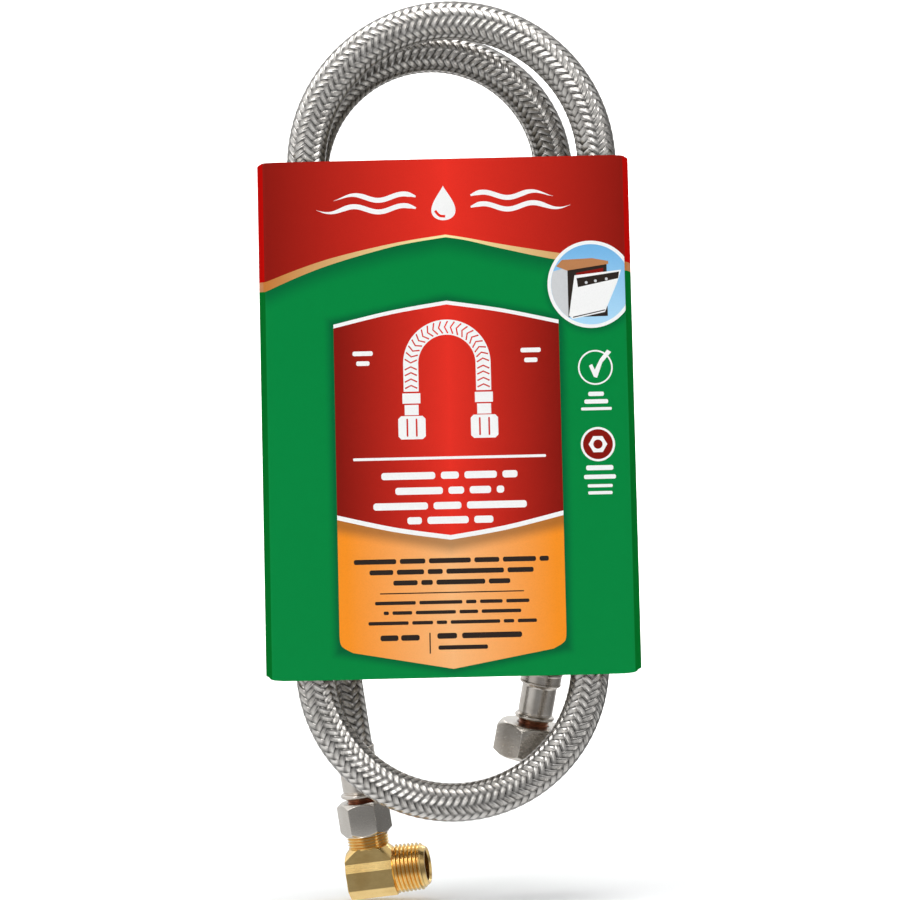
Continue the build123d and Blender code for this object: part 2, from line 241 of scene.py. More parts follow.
def mix_colour(tree, factor, a, b, blend="MIX"):
    n = tree.nodes.new("ShaderNodeMix")
    n.data_type = "RGBA"
    n.blend_type = blend
    for socket, value in ((n.inputs[0], factor), (n.inputs[6], a), (n.inputs[7], b)):
        if isinstance(value, bpy.types.NodeSocket):
            tree.links.new(value, socket)
        elif socket.type == "RGBA":
            socket.default_value = (*value[:3], 1)
        else:
            socket.default_value = value
    return n.outputs[2]


def maths(tree, op, a, b=None, c=None, clamp=False):
    n = tree.nodes.new("ShaderNodeMath")
    n.operation = op
    n.use_clamp = clamp
    for socket, value in zip(n.inputs, (a, b, c)):
        if value is None:
            continue
        if isinstance(value, bpy.types.NodeSocket):
            tree.links.new(value, socket)
        else:
            socket.default_value = value
    return n.outputs[0]


def ramp(tree, value, low, high, smooth=True):
    """0 below low, 1 above high."""
    n = add_node(tree, "ShaderNodeMapRange", interpolation_type="SMOOTHSTEP" if smooth else "LINEAR")
    n.inputs["From Min"].default_value = low
    n.inputs["From Max"].default_value = high
    tree.links.new(value, n.inputs["Value"])
    return n.outputs["Result"]


def noise(tree, scale, detail, stretch=(1, 1, 1)):
    coord = add_node(tree, "ShaderNodeTexCoord")
    mapping = add_node(tree, "ShaderNodeMapping")
    mapping.inputs["Scale"].default_value = stretch
    n = add_node(tree, "ShaderNodeTexNoise", Scale=scale, Detail=detail)
    tree.links.new(coord.outputs["Object"], mapping.inputs["Vector"])
    tree.links.new(mapping.outputs["Vector"], n.inputs["Vector"])
    return n.outputs["Fac"]


def surface(tree, shader, tint, grain, roughness, spread, bump):
    """Colour from tint; roughness, within spread of its middle value, and relief from a grain."""
    tree.links.new(tint, shader.inputs["Base Color"])
    rough = maths(tree, "MULTIPLY_ADD", grain, spread * 2, roughness - spread)
    tree.links.new(rough, shader.inputs["Roughness"])
    relief = add_node(tree, "ShaderNodeBump", Strength=bump, Distance=0.0002)
    tree.links.new(grain, relief.inputs["Height"])
    tree.links.new(relief.outputs["Normal"], shader.inputs["Normal"])


def metal(name, light, dark, roughness, spread, scale, bump, stain, stretch=(1, 1, 1)):
    """Worked metal: its tint drifts between two colours over a fine grain."""
    m, tree, shader = node_material(name)
    shader.inputs["Metallic"].default_value = 1.0
    drift = maths(tree, "MULTIPLY", ramp(tree, noise(tree, 160.0, 4.0), 0.35, 0.75), stain)
    grain = noise(tree, scale, 3.0, stretch)
    surface(tree, shader, mix_colour(tree, drift, light, dark), grain, roughness, spread, bump)
    return m


def rubber(name, colour, roughness):
    m, tree, shader = node_material(name)
    lighter = [c * 1.6 + 0.01 for c in colour]
    tint = mix_colour(tree, ramp(tree, noise(tree, 220.0, 3.0), 0.3, 0.7), colour, lighter)
    surface(tree, shader, tint, noise(tree, 1400.0, 4.0), roughness, 0.1, 0.15)
    return m


def shaded(material, least):
    """Darkens a material by the mesh's own shade, from least in the gaps to 1 on the open wires."""
    tree = material.node_tree
    shader = tree.nodes["Principled BSDF"]
    base = shader.inputs["Base Color"].links[0].from_socket
    shade = add_node(tree, "ShaderNodeAttribute", attribute_name="shade").outputs["Fac"]
    light = maths(tree, "MULTIPLY_ADD", shade, 1 - least, least)
    grey = add_node(tree, "ShaderNodeCombineColor")
    for socket in grey.inputs[:3]:
        tree.links.new(light, socket)
    tree.links.new(mix_colour(tree, 1.0, base, grey.outputs[0], "MULTIPLY"), shader.inputs["Base Color"])
    return material


braid_steel = metal("braid_steel", (0.86, 0.825, 0.78), (0.66, 0.62, 0.57), 0.25,
                    spread=0.07, scale=1500.0, bump=0.03, stain=0.5)
braid_steel = shaded(braid_steel, least=0.05)
ferrule_steel = metal("ferrule_steel", (0.70, 0.65, 0.59), (0.46, 0.40, 0.34), 0.24,
                      spread=0.07, scale=700.0, bump=0.04, stain=0.5, stretch=(6, 6, 0.5))
nut_nickel = metal("nut_nickel", (0.68, 0.635, 0.575), (0.52, 0.475, 0.42), 0.26,
                   spread=0.04, scale=1100.0, bump=0.012, stain=0.3, stretch=(0.35, 0.35, 3))
stem_copper = metal("stem_copper", (0.42, 0.17, 0.09), (0.16, 0.06, 0.035), 0.32,
                    spread=0.10, scale=900.0, bump=0.05, stain=0.8)
elbow_brass = metal("elbow_brass", (0.94, 0.67, 0.28), (0.76, 0.48, 0.16), 0.2,
                    spread=0.07, scale=900.0, bump=0.05, stain=0.6, stretch=(0.3, 2, 2))
washer_rubber = rubber("washer_rubber", (0.018, 0.018, 0.02), 0.55)
# painted shade: the inner tube is near-black so that the gaps between the braid's strands read dark
tube_painted_shade = rubber("tube_painted_shade", (0.035, 0.034, 0.033), 0.5)


# ---------------------------------------------------------------- hose centre line
STRAIGHT = 8  # mm the hose runs on straight behind each flex point


def traced_line():
    """Middle of the hose between the two ferrules, found by feeling for the walls of the tube's bore."""
    tube = frame["nodes"]["tube_main"].data
    tree = BVHTree.FromPolygons([v.co for v in tube.vertices], [tuple(p.vertices) for p in tube.polygons])
    stop = fip.origin - fip.axis * STRAIGHT * MM
    point = comp.origin - comp.axis * STRAIGHT * MM
    heading = -comp.axis
    step = 1.5 * MM
    points = [point]
    for _ in range(2000):
        guess = point + heading * step
        for _ in range(2):
            across = unit(np.cross(heading, (0.3, 1.0, 0.2)))
            over = np.cross(heading, across)
            middles = []
            for k in range(10):
                angle = math.pi * k / 10
                ray = across * math.cos(angle) + over * math.sin(angle)
                a = tree.ray_cast(Vector(guess), Vector(ray), 0.012)[0]
                b = tree.ray_cast(Vector(guess), Vector(-ray), 0.012)[0]
                if a and b:
                    middles.append((np.array(a) + np.array(b)) / 2)
            guess = np.mean(middles, axis=0)
            heading = unit(guess - point)
        point = guess
        points.append(point)
        if np.linalg.norm(stop - point) < 1.2 * step:
            break
    return points


# the braid runs on inside each ferrule's bell, and the line is straight from there to the flex point
INTO_FERRULE = 2.4
comp_stop = comp.span("comp_ferrule")[0] + INTO_FERRULE
fip_stop = fip.span("fip_ferrule")[0] + INTO_FERRULE
line = np.array(
    [comp.origin + comp.axis * t * MM for t in np.arange(comp_stop, -STRAIGHT, -1.0)]
    + traced_line()
    + [fip.origin + fip.axis * t * MM for t in np.arange(-STRAIGHT, fip_stop, 1.0)]
    + [fip.origin + fip.axis * fip_stop * MM]
)
travel = np.concatenate([[0], np.cumsum(np.linalg.norm(np.diff(line, axis=0), axis=1))])
LENGTH = travel[-1]
stations = np.linspace(0, LENGTH, int(LENGTH / (0.5 * MM)) + 1)
centre = np.stack([np.interp(stations, travel, line[:, i]) for i in range(3)], axis=1)
kernel = np.exp(-0.5 * (np.arange(-20, 21) / 5.0) ** 2)
kernel /= kernel.sum()
smoothed = centre.copy()
for i in range(3):
    smoothed[20:-20, i] = np.convolve(centre[:, i], kernel, mode="valid")
centre = smoothed
tangent = np.gradient(centre, axis=0)
tangent /= np.linalg.norm(tangent, axis=1)[:, None]
# normals that turn with the hose without twisting about it, by double reflection
normal = np.zeros_like(centre)
normal[0] = unit(np.cross(tangent[0], (0, 1, 0)))
for i in range(len(centre) - 1):
    v1 = centre[i + 1] - centre[i]
    c1 = v1 @ v1
    n_l = normal[i] - (2 / c1) * (v1 @ normal[i]) * v1
    t_l = tangent[i] - (2 / c1) * (v1 @ tangent[i]) * v1
    v2 = tangent[i + 1] - t_l
    c2 = v2 @ v2
    n = n_l - (2 / c2) * (v2 @ n_l) * v2 if c2 > 1e-18 else n_l
    normal[i + 1] = unit(n - tangent[i + 1] * (n @ tangent[i + 1]))
binormal = np.cross(tangent, normal)


def on_hose(s, angle, r):
    """Points on the hose: s in metres along it, angle round it, r in mm from its middle."""
    shape = np.broadcast(s, angle, r).shape
    s, angle, r = (np.broadcast_to(x, shape) for x in (s, angle, r))
    position = np.clip(s, 0, LENGTH) / LENGTH * (len(stations) - 1)
    low = np.minimum(position.astype(int), len(stations) - 2)
    share = (position - low)[..., None]
    c = centre[low] * (1 - share) + centre[low + 1] * share
    n = normal[low] * (1 - share) + normal[low + 1] * share
    b = binormal[low] * (1 - share) + binormal[low + 1] * share
    beyond = (s - np.clip(s, 0, LENGTH))[..., None]
    c = c + beyond * np.where(beyond < 0, tangent[0], tangent[-1])
    return c + (r * MM * np.cos(angle))[..., None] * n + (r * MM * np.sin(angle))[..., None] * b


# ---------------------------------------------------------------- braid
STRANDS = 12  # each way
LEAD = 32.5  # mm of hose to one turn of a strand
LAY_RADIUS = 6.33
WAVE = 0.19  # how far a strand's middle rises over and dives under LAY_RADIUS
WAVE_CUT = 1.12  # the wave is made this much too tall and cut flat at its crests
RIBBON = 1.97  # width of a strand
WIRES = 6
CROSSING = LEAD / (2 * STRANDS)
STEP = CROSSING / 2
lay_angle = math.atan(TAU * LAY_RADIUS / LEAD)


def ribbon_section():
    """Offsets across and out of a strand of six wires laid side by side, as one closed ring."""
    wire = RIBBON / WIRES
    ring = []
    for k in range(WIRES):
        x = -RIBBON / 2 + wire * (k + 0.5)
        crown = 0.08 * (1 - (2 * x / RIBBON) ** 2)
        if k == 0:
            ring.append((-RIBBON / 2, -0.04))
        ring.append((x, 0.08 + crown))
        edge = k == WIRES - 1
        ring.append((x + wire / 2, -0.04 if edge else crown - 0.02))
    ring += [(RIBBON * 0.36, -0.13), (-RIBBON * 0.36, -0.13)]
    return np.array(ring)


def braid_piece(name, first, last):
    """All 24 strands between two section numbers, as closed ribbons going over two and under two."""
    ring = ribbon_section()
    k = np.arange(first, last + 1)
    s = k * STEP
    u = k / 2.0
    verts, faces, shades = [], [], []
    sections, sides = len(k), len(ring)
    base = 0
    rows = np.arange(sections - 1)[:, None]
    cols = np.arange(sides)[None, :]
    quad = np.stack(
        [
            rows * sides + cols,
            rows * sides + (cols + 1) % sides,
            (rows + 1) * sides + (cols + 1) % sides,
            (rows + 1) * sides + cols,
        ],
        axis=-1,
    ).reshape(-1, 4)
    for way in (1, -1):
        for i in range(STRANDS):
            phase = u + 2 * i if way > 0 else u - 2 * i - 1
            wave = np.clip(WAVE_CUT * np.cos(TAU * (phase - 0.5) / 4), -1, 1)
            slope = np.gradient(wave * WAVE, s / math.cos(lay_angle))
            angle = way * TAU * s / LEAD + TAU * i / STRANDS
            across = ring[None, :, 0]
            out = ring[None, :, 1]
            along = -out * slope[:, None] * 0.6
            ds = -way * across * math.sin(lay_angle) + along * math.cos(lay_angle)
            da = (across * math.cos(lay_angle) + way * along * math.sin(lay_angle)) / LAY_RADIUS
            r = LAY_RADIUS + WAVE * wave[:, None] + out
            points = on_hose((s[:, None] + ds) * MM, angle[:, None] + da, r)
            verts.append(points.reshape(-1, 3))
            # open to the light on its floats, shaded where it dives under, at its edges and between wires
            shade = np.clip(0.38 + 0.7 * wave, 0, 1)[:, None] * np.clip((out + 0.06) / 0.19, 0, 1)
            shades.append(shade.ravel())
            turned = quad if way > 0 else quad[:, ::-1]
            faces.append(turned + base)
            base += sections * sides
    verts, faces, shades = (np.concatenate(arrays) for arrays in (verts, faces, shades))
    return strip_object(name, verts, faces, shades, sections, sides)


def strip_object(name, verts, quads, shades, sections, sides):
    """Mesh from arrays of quads, with a cap at both ends of each strip, and the shade at each vertex."""
    strips = len(verts) // (sections * sides)
    caps = []
    for i in range(strips):
        start = i * sections * sides
        head = np.arange(sides) + start
        tail = head + (sections - 1) * sides
        flip = i >= strips // 2
        caps.append(head if flip else head[::-1])
        caps.append(tail[::-1] if flip else tail)
    loops = np.concatenate([quads.ravel(), np.concatenate(caps)])
    starts = np.concatenate([np.arange(len(quads)) * 4, len(quads) * 4 + np.arange(len(caps)) * sides])
    mesh = bpy.data.meshes.new(name)
    mesh.vertices.add(len(verts))
    mesh.vertices.foreach_set("co", verts.astype(np.float32).ravel())
    mesh.loops.add(len(loops))
    mesh.loops.foreach_set("vertex_index", loops.astype(np.int32))
    mesh.polygons.add(len(starts))
    mesh.polygons.foreach_set("loop_start", starts.astype(np.int32))
    mesh.attributes.new("shade", "FLOAT", "POINT").data.foreach_set("value", shades.astype(np.float32))
    mesh.update(calc_edges=True)
    mesh.validate()
    mesh.materials.append(braid_steel)
    return add_object(name, mesh, 60)


TUBE_OUTSIDE, TUBE_INSIDE, TUBE_STEP = 5.86, 4.5, 2.0


def tube_piece(name, first, last):
    """The inner tube under the braid, as a closed thick-walled sweep."""
    count = max(2, int(round((last - first) * STEP / TUBE_STEP)))
    s = np.linspace(first * STEP, last * STEP, count + 1) * MM
    angles = ring_angles(40)
    outside, inside = (on_hose(s[:, None], angles[None, :], r) for r in (TUBE_OUTSIDE, TUBE_INSIDE))
    b = Builder()
    b.grid(outside)
    b.grid(inside[::-1])
    b.grid(np.stack([inside[0], outside[0]]))
    b.grid(np.stack([outside[-1], inside[-1]]))
    # painted shade: the tube's near-black stands for the shade in the gaps of the braid
    return b.finish(name, tube_painted_shade, 60)


FLEX = 12.0  # mm of hose past each flex point, where the tail pieces end and the coil pieces begin
last_section = int(LENGTH / MM / STEP)
comp_cut = int(round((comp_stop + FLEX) / STEP))
fip_cut = last_section - int(round((fip_stop + FLEX) / STEP))
COIL_PIECES = 7
cuts = [comp_cut + round((fip_cut - comp_cut) * i / COIL_PIECES) for i in range(COIL_PIECES + 1)]
for i in range(COIL_PIECES):
    finished(braid_piece(f"braid_coil_{i + 1}", cuts[i], cuts[i + 1]), "hose", "braid_main")
finished(tube_piece("tube_coil", comp_cut, fip_cut), "hose", "tube_main")
for label, end, body, span in (
    ("comp", comp, "comp_end", (0, comp_cut)),
    ("fip", fip, "fip_end", (fip_cut, last_section)),
):
    for kind, make, slot in (("braid", braid_piece, "steel_braid"), ("tube", tube_piece, "pvc_tube")):
        piece = make(f"{kind}_{label}_tail", *span)
        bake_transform(piece)
        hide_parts(f"{kind}_{label}_end")


# ---------------------------------------------------------------- turned pieces of both ends
def soft(outline, size=0.12, steps=3):
    """A closed outline with its corners rounded off."""
    out = []
    count = len(outline)
    for i in range(count):
        p = np.array(outline[i], float)
        before = np.array(outline[i - 1], float) - p
        after = np.array(outline[(i + 1) % count], float) - p
        a = p + before * min(size / np.linalg.norm(before), 0.4)
        b = p + after * min(size / np.linalg.norm(after), 0.4)
        for k in range(steps + 1):
            share = k / steps
            out.append(tuple(a * (1 - share) ** 2 + 2 * p * share * (1 - share) + b * share**2))
    return out


def turned_piece(node, ax, outline, body, material, columns=96, shape=None, size=0.12, angle=35):
    """A piece turned from its whole outline, with softened corners."""
    b = Builder()
    b.lathe(ax, soft(outline, size), ring_angles(columns), closed=True, shape=shape)
    finished(b.finish(node + "_look", material, angle), body, node)


CRIMP_JAWS = 8
CRIMP_DEPTH = 0.008


def ferrule_piece(node, ax, body, bead_radius):
    """Pressed steel ferrule: rolled rim, bell, faint jaw marks of the crimp, and a bead."""
    start, stop = ax.span(node)
    crimp_from, crimp_to = start + 5.6, stop - 2.4
    outline = [
        # rolled rim
        (6.78, start), (7.0, start - 0.02), (7.22, start + 0.25), (7.22, start + 0.8), (7.06, start + 1.1),
        # bell and the swelling before the crimp
        (7.06, start + 3.7), (7.2, start + 3.95), (7.2, start + 4.4), (6.9, start + 4.75),
        # crimped length and the neck before the bead
        (6.2, start + 5.2), (6.05, start + 5.7), (6.03, crimp_to - 0.35),
        (5.86, crimp_to - 0.1), (5.86, crimp_to + 0.2),
    ]
    bead = (stop - 0.35 - (crimp_to + 0.3)) / 2
    middle = crimp_to + 0.3 + bead
    lift = bead_radius - 5.85
    for a in np.radians(np.linspace(-80, 80, 11)):
        outline.append((5.85 + lift * math.cos(a), middle + bead * math.sin(a)))
    outline += [(5.75, stop - 0.2), (5.55, stop), (4.36, stop), (4.36, stop - 1.35), (5.66, stop - 1.35)]
    outline += [(5.66, start + 5.85), (6.78, start + 4.4)]

    def jaws(r, a, t):
        inside = np.clip((t - crimp_from) / 0.8, 0, 1) * np.clip((crimp_to - t) / 0.8, 0, 1)
        return np.where(r > 5.9, r + inside * CRIMP_DEPTH * np.cos(CRIMP_JAWS * a), r)

    # rows close enough together for the jaw marks
    dense = []
    rounded = soft(outline, 0.1)
    for i, p in enumerate(rounded):
        q = rounded[(i + 1) % len(rounded)]
        dense.append(p)
        pieces = int(abs(q[1] - p[1]) / 0.7)
        for k in range(1, pieces):
            dense.append((p[0] + (q[0] - p[0]) * k / pieces, p[1] + (q[1] - p[1]) * k / pieces))
    b = Builder()
    b.lathe(ax, dense, ring_angles(96), closed=True, shape=jaws)
    finished(b.finish(node + "_look", ferrule_steel, 40), body, node)
    return stop


def stem_piece(node, ax, body, neck, ferrule_stop):
    """Stem with its ringed neck, the flange inside the nut, and the nose the washer sits on."""
    start, stop = ax.span(node)
    flange_start, flange_radius, nose_radius = neck["flange"], neck["flange_radius"], neck["nose"]
    outline = [(3.25, start), (3.9, start), (4.28, start + 0.8), (4.28, ferrule_stop + 0.05)]
    neck_radius, pitch = neck["radius"], neck["pitch"]
    outline.append((neck_radius - 0.25, ferrule_stop + 0.05))
    rings = int((flange_start - ferrule_stop) / pitch)
    for k in range(rings):
        at = ferrule_stop + 0.1 + k * pitch
        outline += [
            (neck_radius - 0.1, at + 0.18 * pitch),
            (neck_radius, at + 0.32 * pitch),
            (neck_radius - 0.1, at + 0.48 * pitch),
            (neck_radius - 0.48, at + 0.7 * pitch),
            (neck_radius - 0.48, at + 0.85 * pitch),
        ]
    outline += [(neck_radius - 0.4, flange_start), (flange_radius, flange_start)]
    outline += [(flange_radius, flange_start + 1.15), (nose_radius, flange_start + 1.15)]
    outline += [(nose_radius, stop), (2.7, stop), (2.7, ferrule_stop), (3.25, ferrule_stop - 1)]
    turned_piece(node, ax, outline, body, stem_copper, 80, size=0.08, angle=50)


# ---------------------------------------------------------------- nuts
def corner_angle(node, ax):
    """Angle of one corner of a hexagonal node, from the points farthest from its axis."""
    r, a, _ = ax.measure(node_points(node))
    far = r > r.max() - 0.02
    return np.angle(np.mean(np.exp(6j * a[far]))) / 6


def hex_columns(apothem, corner, round_off=0.35, per_flat=14):
    """Angles round a hexagon with rounded corners, and the radius at each."""
    inner = (apothem - round_off) / math.cos(math.pi / 6)
    edge = math.atan2(round_off * 0.5, inner + round_off * math.cos(math.pi / 6))
    offsets = np.concatenate([edge * np.array([-1, -0.66, -0.33, 0, 0.33, 0.66]),
                              np.linspace(edge, math.pi / 3 - edge, per_flat, endpoint=False)])
    angles, radii = [], []
    for k in range(6):
        for d in offsets:
            near = abs((d + math.pi / 6) % (math.pi / 3) - math.pi / 6)
            if near < edge:
                r = inner * math.cos(near) + math.sqrt(round_off**2 - (inner * math.sin(near)) ** 2)
            else:
                r = apothem / math.cos(math.pi / 6 - near)
            angles.append(corner + k * math.pi / 3 + d)
            radii.append(r)
    return np.array(angles), np.array(radii)


def nut_piece(node, ax, apothem, recess, slope, neck_hole, wall, cavity, thread):
    """Hexagonal swivel nut: corners turned off at both faces, a swivel wall and a threaded cavity.
    recess: how far the turned faces stay inside the flats; slope: how steeply the corners come off;
    thread: its major radius, minor radius and pitch."""
    start, stop = ax.span(node)
    angles, flat_r = hex_columns(apothem, corner_angle(node, ax))
    face_r = apothem - recess
    rise = (flat_r - face_r) / slope
    e = 0.10  # rounding of the turned edge
    # the outline of each column, from the swivel face over the flat to the mouth
    rows = []
    for r, t in (
        (face_r - 0.35, 0),
        (face_r - e, 0),
        (face_r + 0.3 * e * slope, 0.3 * e),
        (flat_r - e * slope, np.maximum(rise - e, 0.05)),
        (flat_r - 0.25 * e * slope, rise + 0.1 * e),
        (flat_r, rise + 1.3 * e),
    ):
        rows.append((r, start + t))
    rows += [(r, stop - (t - start)) for r, t in reversed(rows)]
    b = Builder()
    b.grid(np.stack([ax.place(r, angles, t) for r, t in rows]))
    major, minor, pitch = thread
    mouth = stop - 0.02
    thread_from = start + wall + 1.3
    swivel_face = [(face_r - 0.35, start), (neck_hole + 0.25, start), (neck_hole, start + 0.25)]
    b.lathe(ax, swivel_face, angles)
    inner_wall = [(neck_hole, start + 0.25), (neck_hole, start + wall - 0.15)]
    inner_wall += [(neck_hole + 0.15, start + wall), (cavity, start + wall)]
    inner_wall += [(cavity, thread_from - 0.2), (major, thread_from)]
    b.lathe(ax, inner_wall, angles)
    profile = [(0.0, major), (0.14, major), (0.42, minor), (0.58, minor), (0.86, major)]

    def limit(t, r):
        return np.maximum(r, major - 0.9 * np.minimum(t - thread_from, mouth - 0.3 - t))

    b.thread(ax, angles, thread_from, mouth - 0.3, pitch, profile, limit)
    b.lathe(ax, [(major, mouth - 0.3), (major + 0.15, stop), (face_r - 0.35, stop)], angles)
    finished(b.finish(node + "_look", nut_nickel, 28), node, node)


def washer_piece(node, ax, outline):
    turned_piece(node, ax, outline, node, washer_rubber, 64, size=0.3, angle=60)


# ---------------------------------------------------------------- compression end
comp_nut_start = comp.span("comp_nut")[0]
comp_ferrule_stop = ferrule_piece("comp_ferrule", comp, "comp_end", 7.0)
comp_neck = {
    "radius": 5.0, "pitch": 0.98, "flange": comp_nut_start + 2.05, "flange_radius": 6.3, "nose": 3.42,
}
stem_piece("comp_stem", comp, "comp_end", comp_neck, comp_ferrule_stop)
nut_piece("comp_nut", comp, apothem=7.95, recess=0.42, slope=1.15,
          neck_hole=5.15, wall=2.0, cavity=7.5, thread=(7.62, 7.2, PITCH_24))
w0, w1 = comp.span("comp_washer")
washer_piece("comp_washer", comp, [(3.5, w0), (6.0, w0), (6.0, w1 - 1.45), (4.6, w1), (3.5, w1)])

# ---------------------------------------------------------------- FIP end
fip_nut_start = fip.span("fip_nut")[0]
fip_ferrule_stop = ferrule_piece("fip_ferrule", fip, "fip_end", 6.95)
fip_neck = {
    "radius": 5.25, "pitch": 1.0, "flange": fip_nut_start + 2.05, "flange_radius": 9.0, "nose": 4.87,
}
stem_piece("fip_stem", fip, "fip_end", fip_neck, fip_ferrule_stop)
nut_piece("fip_nut", fip, apothem=11.1, recess=0.45, slope=1.3,
          neck_hole=5.6, wall=2.0, cavity=10.35, thread=(10.6, 9.95, PITCH_14))
w0, w1 = fip.span("fip_washer")
washer_piece("fip_washer", fip, [(4.95, w0), (9.5, w0), (9.5, w1 - 0.9), (8.6, w1), (5.0, w1)])


# ---------------------------------------------------------------- brass elbow
outlet_point = np.array(mounts["elbow_outlet"]["pos_m"])
outlet_axis = unit(mounts["elbow_outlet"]["axis"])
elbow_centre = comp.origin + comp.axis * ((outlet_point - comp.origin) @ comp.axis)
if (outlet_point - elbow_centre) @ outlet_axis < 0:
    outlet_axis = -outlet_axis
leg = Axial(elbow_centre, -comp.axis, outlet_axis)
outlet = Axial(elbow_centre, outlet_axis, -comp.axis)
SHOULDER = 9.4  # top of the bar, in mm up the leg from where the leg and the outlet cross
# right half of the bar's section, as (across, up the leg), and its ends along the outlet
BAR = [(6.0, SHOULDER), (6.9, 4.6), (8.0, 1.7), (8.0, -4.8), (4.2, -8.4)]
BAR_ENDS = (-8.2, 8.4)
LEG_ROOT, LEG_CREST, LEG_BORE = 6.42, 7.14, 4.15
OUTLET_ROOT, OUTLET_CREST, OUTLET_BORE = 7.55, 8.5, 5.4


def boolean(target, tool, operation):
    mod = target.modifiers.new("b", "BOOLEAN")
    mod.operation = operation
    mod.solver = "EXACT"
    mod.object = tool
    applied(target)
    bpy.data.objects.remove(tool)


def turned_solid(name, ax, outline, columns=96):
    b = Builder()
    b.lathe(ax, outline, ring_angles(columns))
    return b.finish(name, elbow_brass)


def threaded_solid(name, ax, start, stop, pitch, root, crest, taper, columns=96):
    """A closed solid rod with an external thread that runs out at both ends."""
    angles = ring_angles(columns)
    flank = root * 0.62 + crest * 0.38
    profile = [(0.0, root), (0.1, root), (0.24, flank), (0.42, crest)]
    profile += [(0.58, crest), (0.76, flank), (0.9, root)]

    def limit(t, r):
        ends = np.minimum((t - start) * 1.6, (stop - t) * 1.0)
        narrowed = r - taper * (t - start)
        return np.minimum(narrowed, root - taper * (t - start) + ends)

    b = Builder()
    b.thread(ax, angles, start, stop, pitch, profile, limit)
    for t, flip in ((start, 1), (stop, -1)):
        ring = ax.place(np.array(root - taper * (t - start)), angles, np.array(t))
        b.patch(ring, [list(range(columns))[::flip]])
    return b.finish(name, elbow_brass)


def elbow_piece():
    """The faceted bar, its shoulder turned to a cone, with both threads, the nose and both bores."""
    across = np.cross(leg.axis, outlet.axis)
    corners = BAR + [(-x, y) for x, y in reversed(BAR)]
    b = Builder()
    rings = []
    for along in BAR_ENDS:
        middle = elbow_centre + MM * along * outlet.axis
        rings.append([middle + MM * (x * across + y * leg.axis) for x, y in corners])
    b.grid(np.array(rings))
    n = len(corners)
    b.patch(rings[0], [list(range(n))])
    b.patch(rings[1], [list(range(n))[::-1]])
    bar = b.finish("elbow_look", elbow_brass)
    bevel = bar.modifiers.new("bevel", "BEVEL")
    bevel.width = 0.22 * MM
    bevel.segments = 2
    bevel.limit_method = "ANGLE"
    bevel.angle_limit = math.radians(30)
    applied(bar)
    cone = [(0, -13), (14, -13), (14, SHOULDER - 7.4)]
    cone += [(6.7, SHOULDER - 0.1), (6.5, SHOULDER), (0, SHOULDER)]
    boolean(bar, turned_solid("cone", leg, cone), "INTERSECT")
    mouth = leg.span("elbow")[1]
    leg_thread = threaded_solid("leg", leg, SHOULDER - 0.6, mouth, PITCH_24, LEG_ROOT, LEG_CREST, 0.0)
    boolean(bar, leg_thread, "UNION")
    tip = outlet.span("elbow")[1]
    outlet_thread = threaded_solid(
        "outlet", outlet, 7.9, tip - 1.2, PITCH_18, OUTLET_ROOT, OUTLET_CREST, NPT_TAPER, 112
    )
    boolean(bar, outlet_thread, "UNION")
    nose = [(0, tip - 2.2), (7.2, tip - 2.2), (7.15, tip - 1.2), (6.5, tip - 0.08), (6.4, tip), (0, tip)]
    boolean(bar, turned_solid("nose", outlet, nose, 112), "UNION")
    leg_bore = [(0, -3), (LEG_BORE, 0), (LEG_BORE, mouth - 1.5)]
    leg_bore += [(5.66, mouth), (5.66, mouth + 1), (0, mouth + 1)]
    boolean(bar, turned_solid("leg_bore", leg, leg_bore, 64), "DIFFERENCE")
    bore = [(0, -5), (OUTLET_BORE, -2), (OUTLET_BORE, tip - 0.7)]
    bore += [(5.9, tip - 0.15), (6.3, tip + 0.3), (0, tip + 0.3)]
    boolean(bar, turned_solid("outlet_bore", outlet, bore, 64), "DIFFERENCE")
    mesh = bar.data
    mesh.polygons.foreach_set("use_smooth", [True] * len(mesh.polygons))
    mesh.set_sharp_from_angle(angle=math.radians(9))
    mesh.materials.clear()
    mesh.materials.append(elbow_brass)
    mesh.polygons.foreach_set("material_index", [0] * len(mesh.polygons))
    finished(bar, "elbow", "elbow")


elbow_piece()


# ---------------------------------------------------------------- card sleeve
card_low, card_high = (np.array(v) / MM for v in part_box("card_sleeve"))
CARD = 0.45  # thickness of the sheet
CARD_HEIGHT = card_high[2] - card_low[2]
FOLD_X = 62.3
SIDE_BULGE = card_high[0] - FOLD_X - 0.1
LAP = 14.0  # glued overlap at the back
LAP_EDGE_X = -25.0


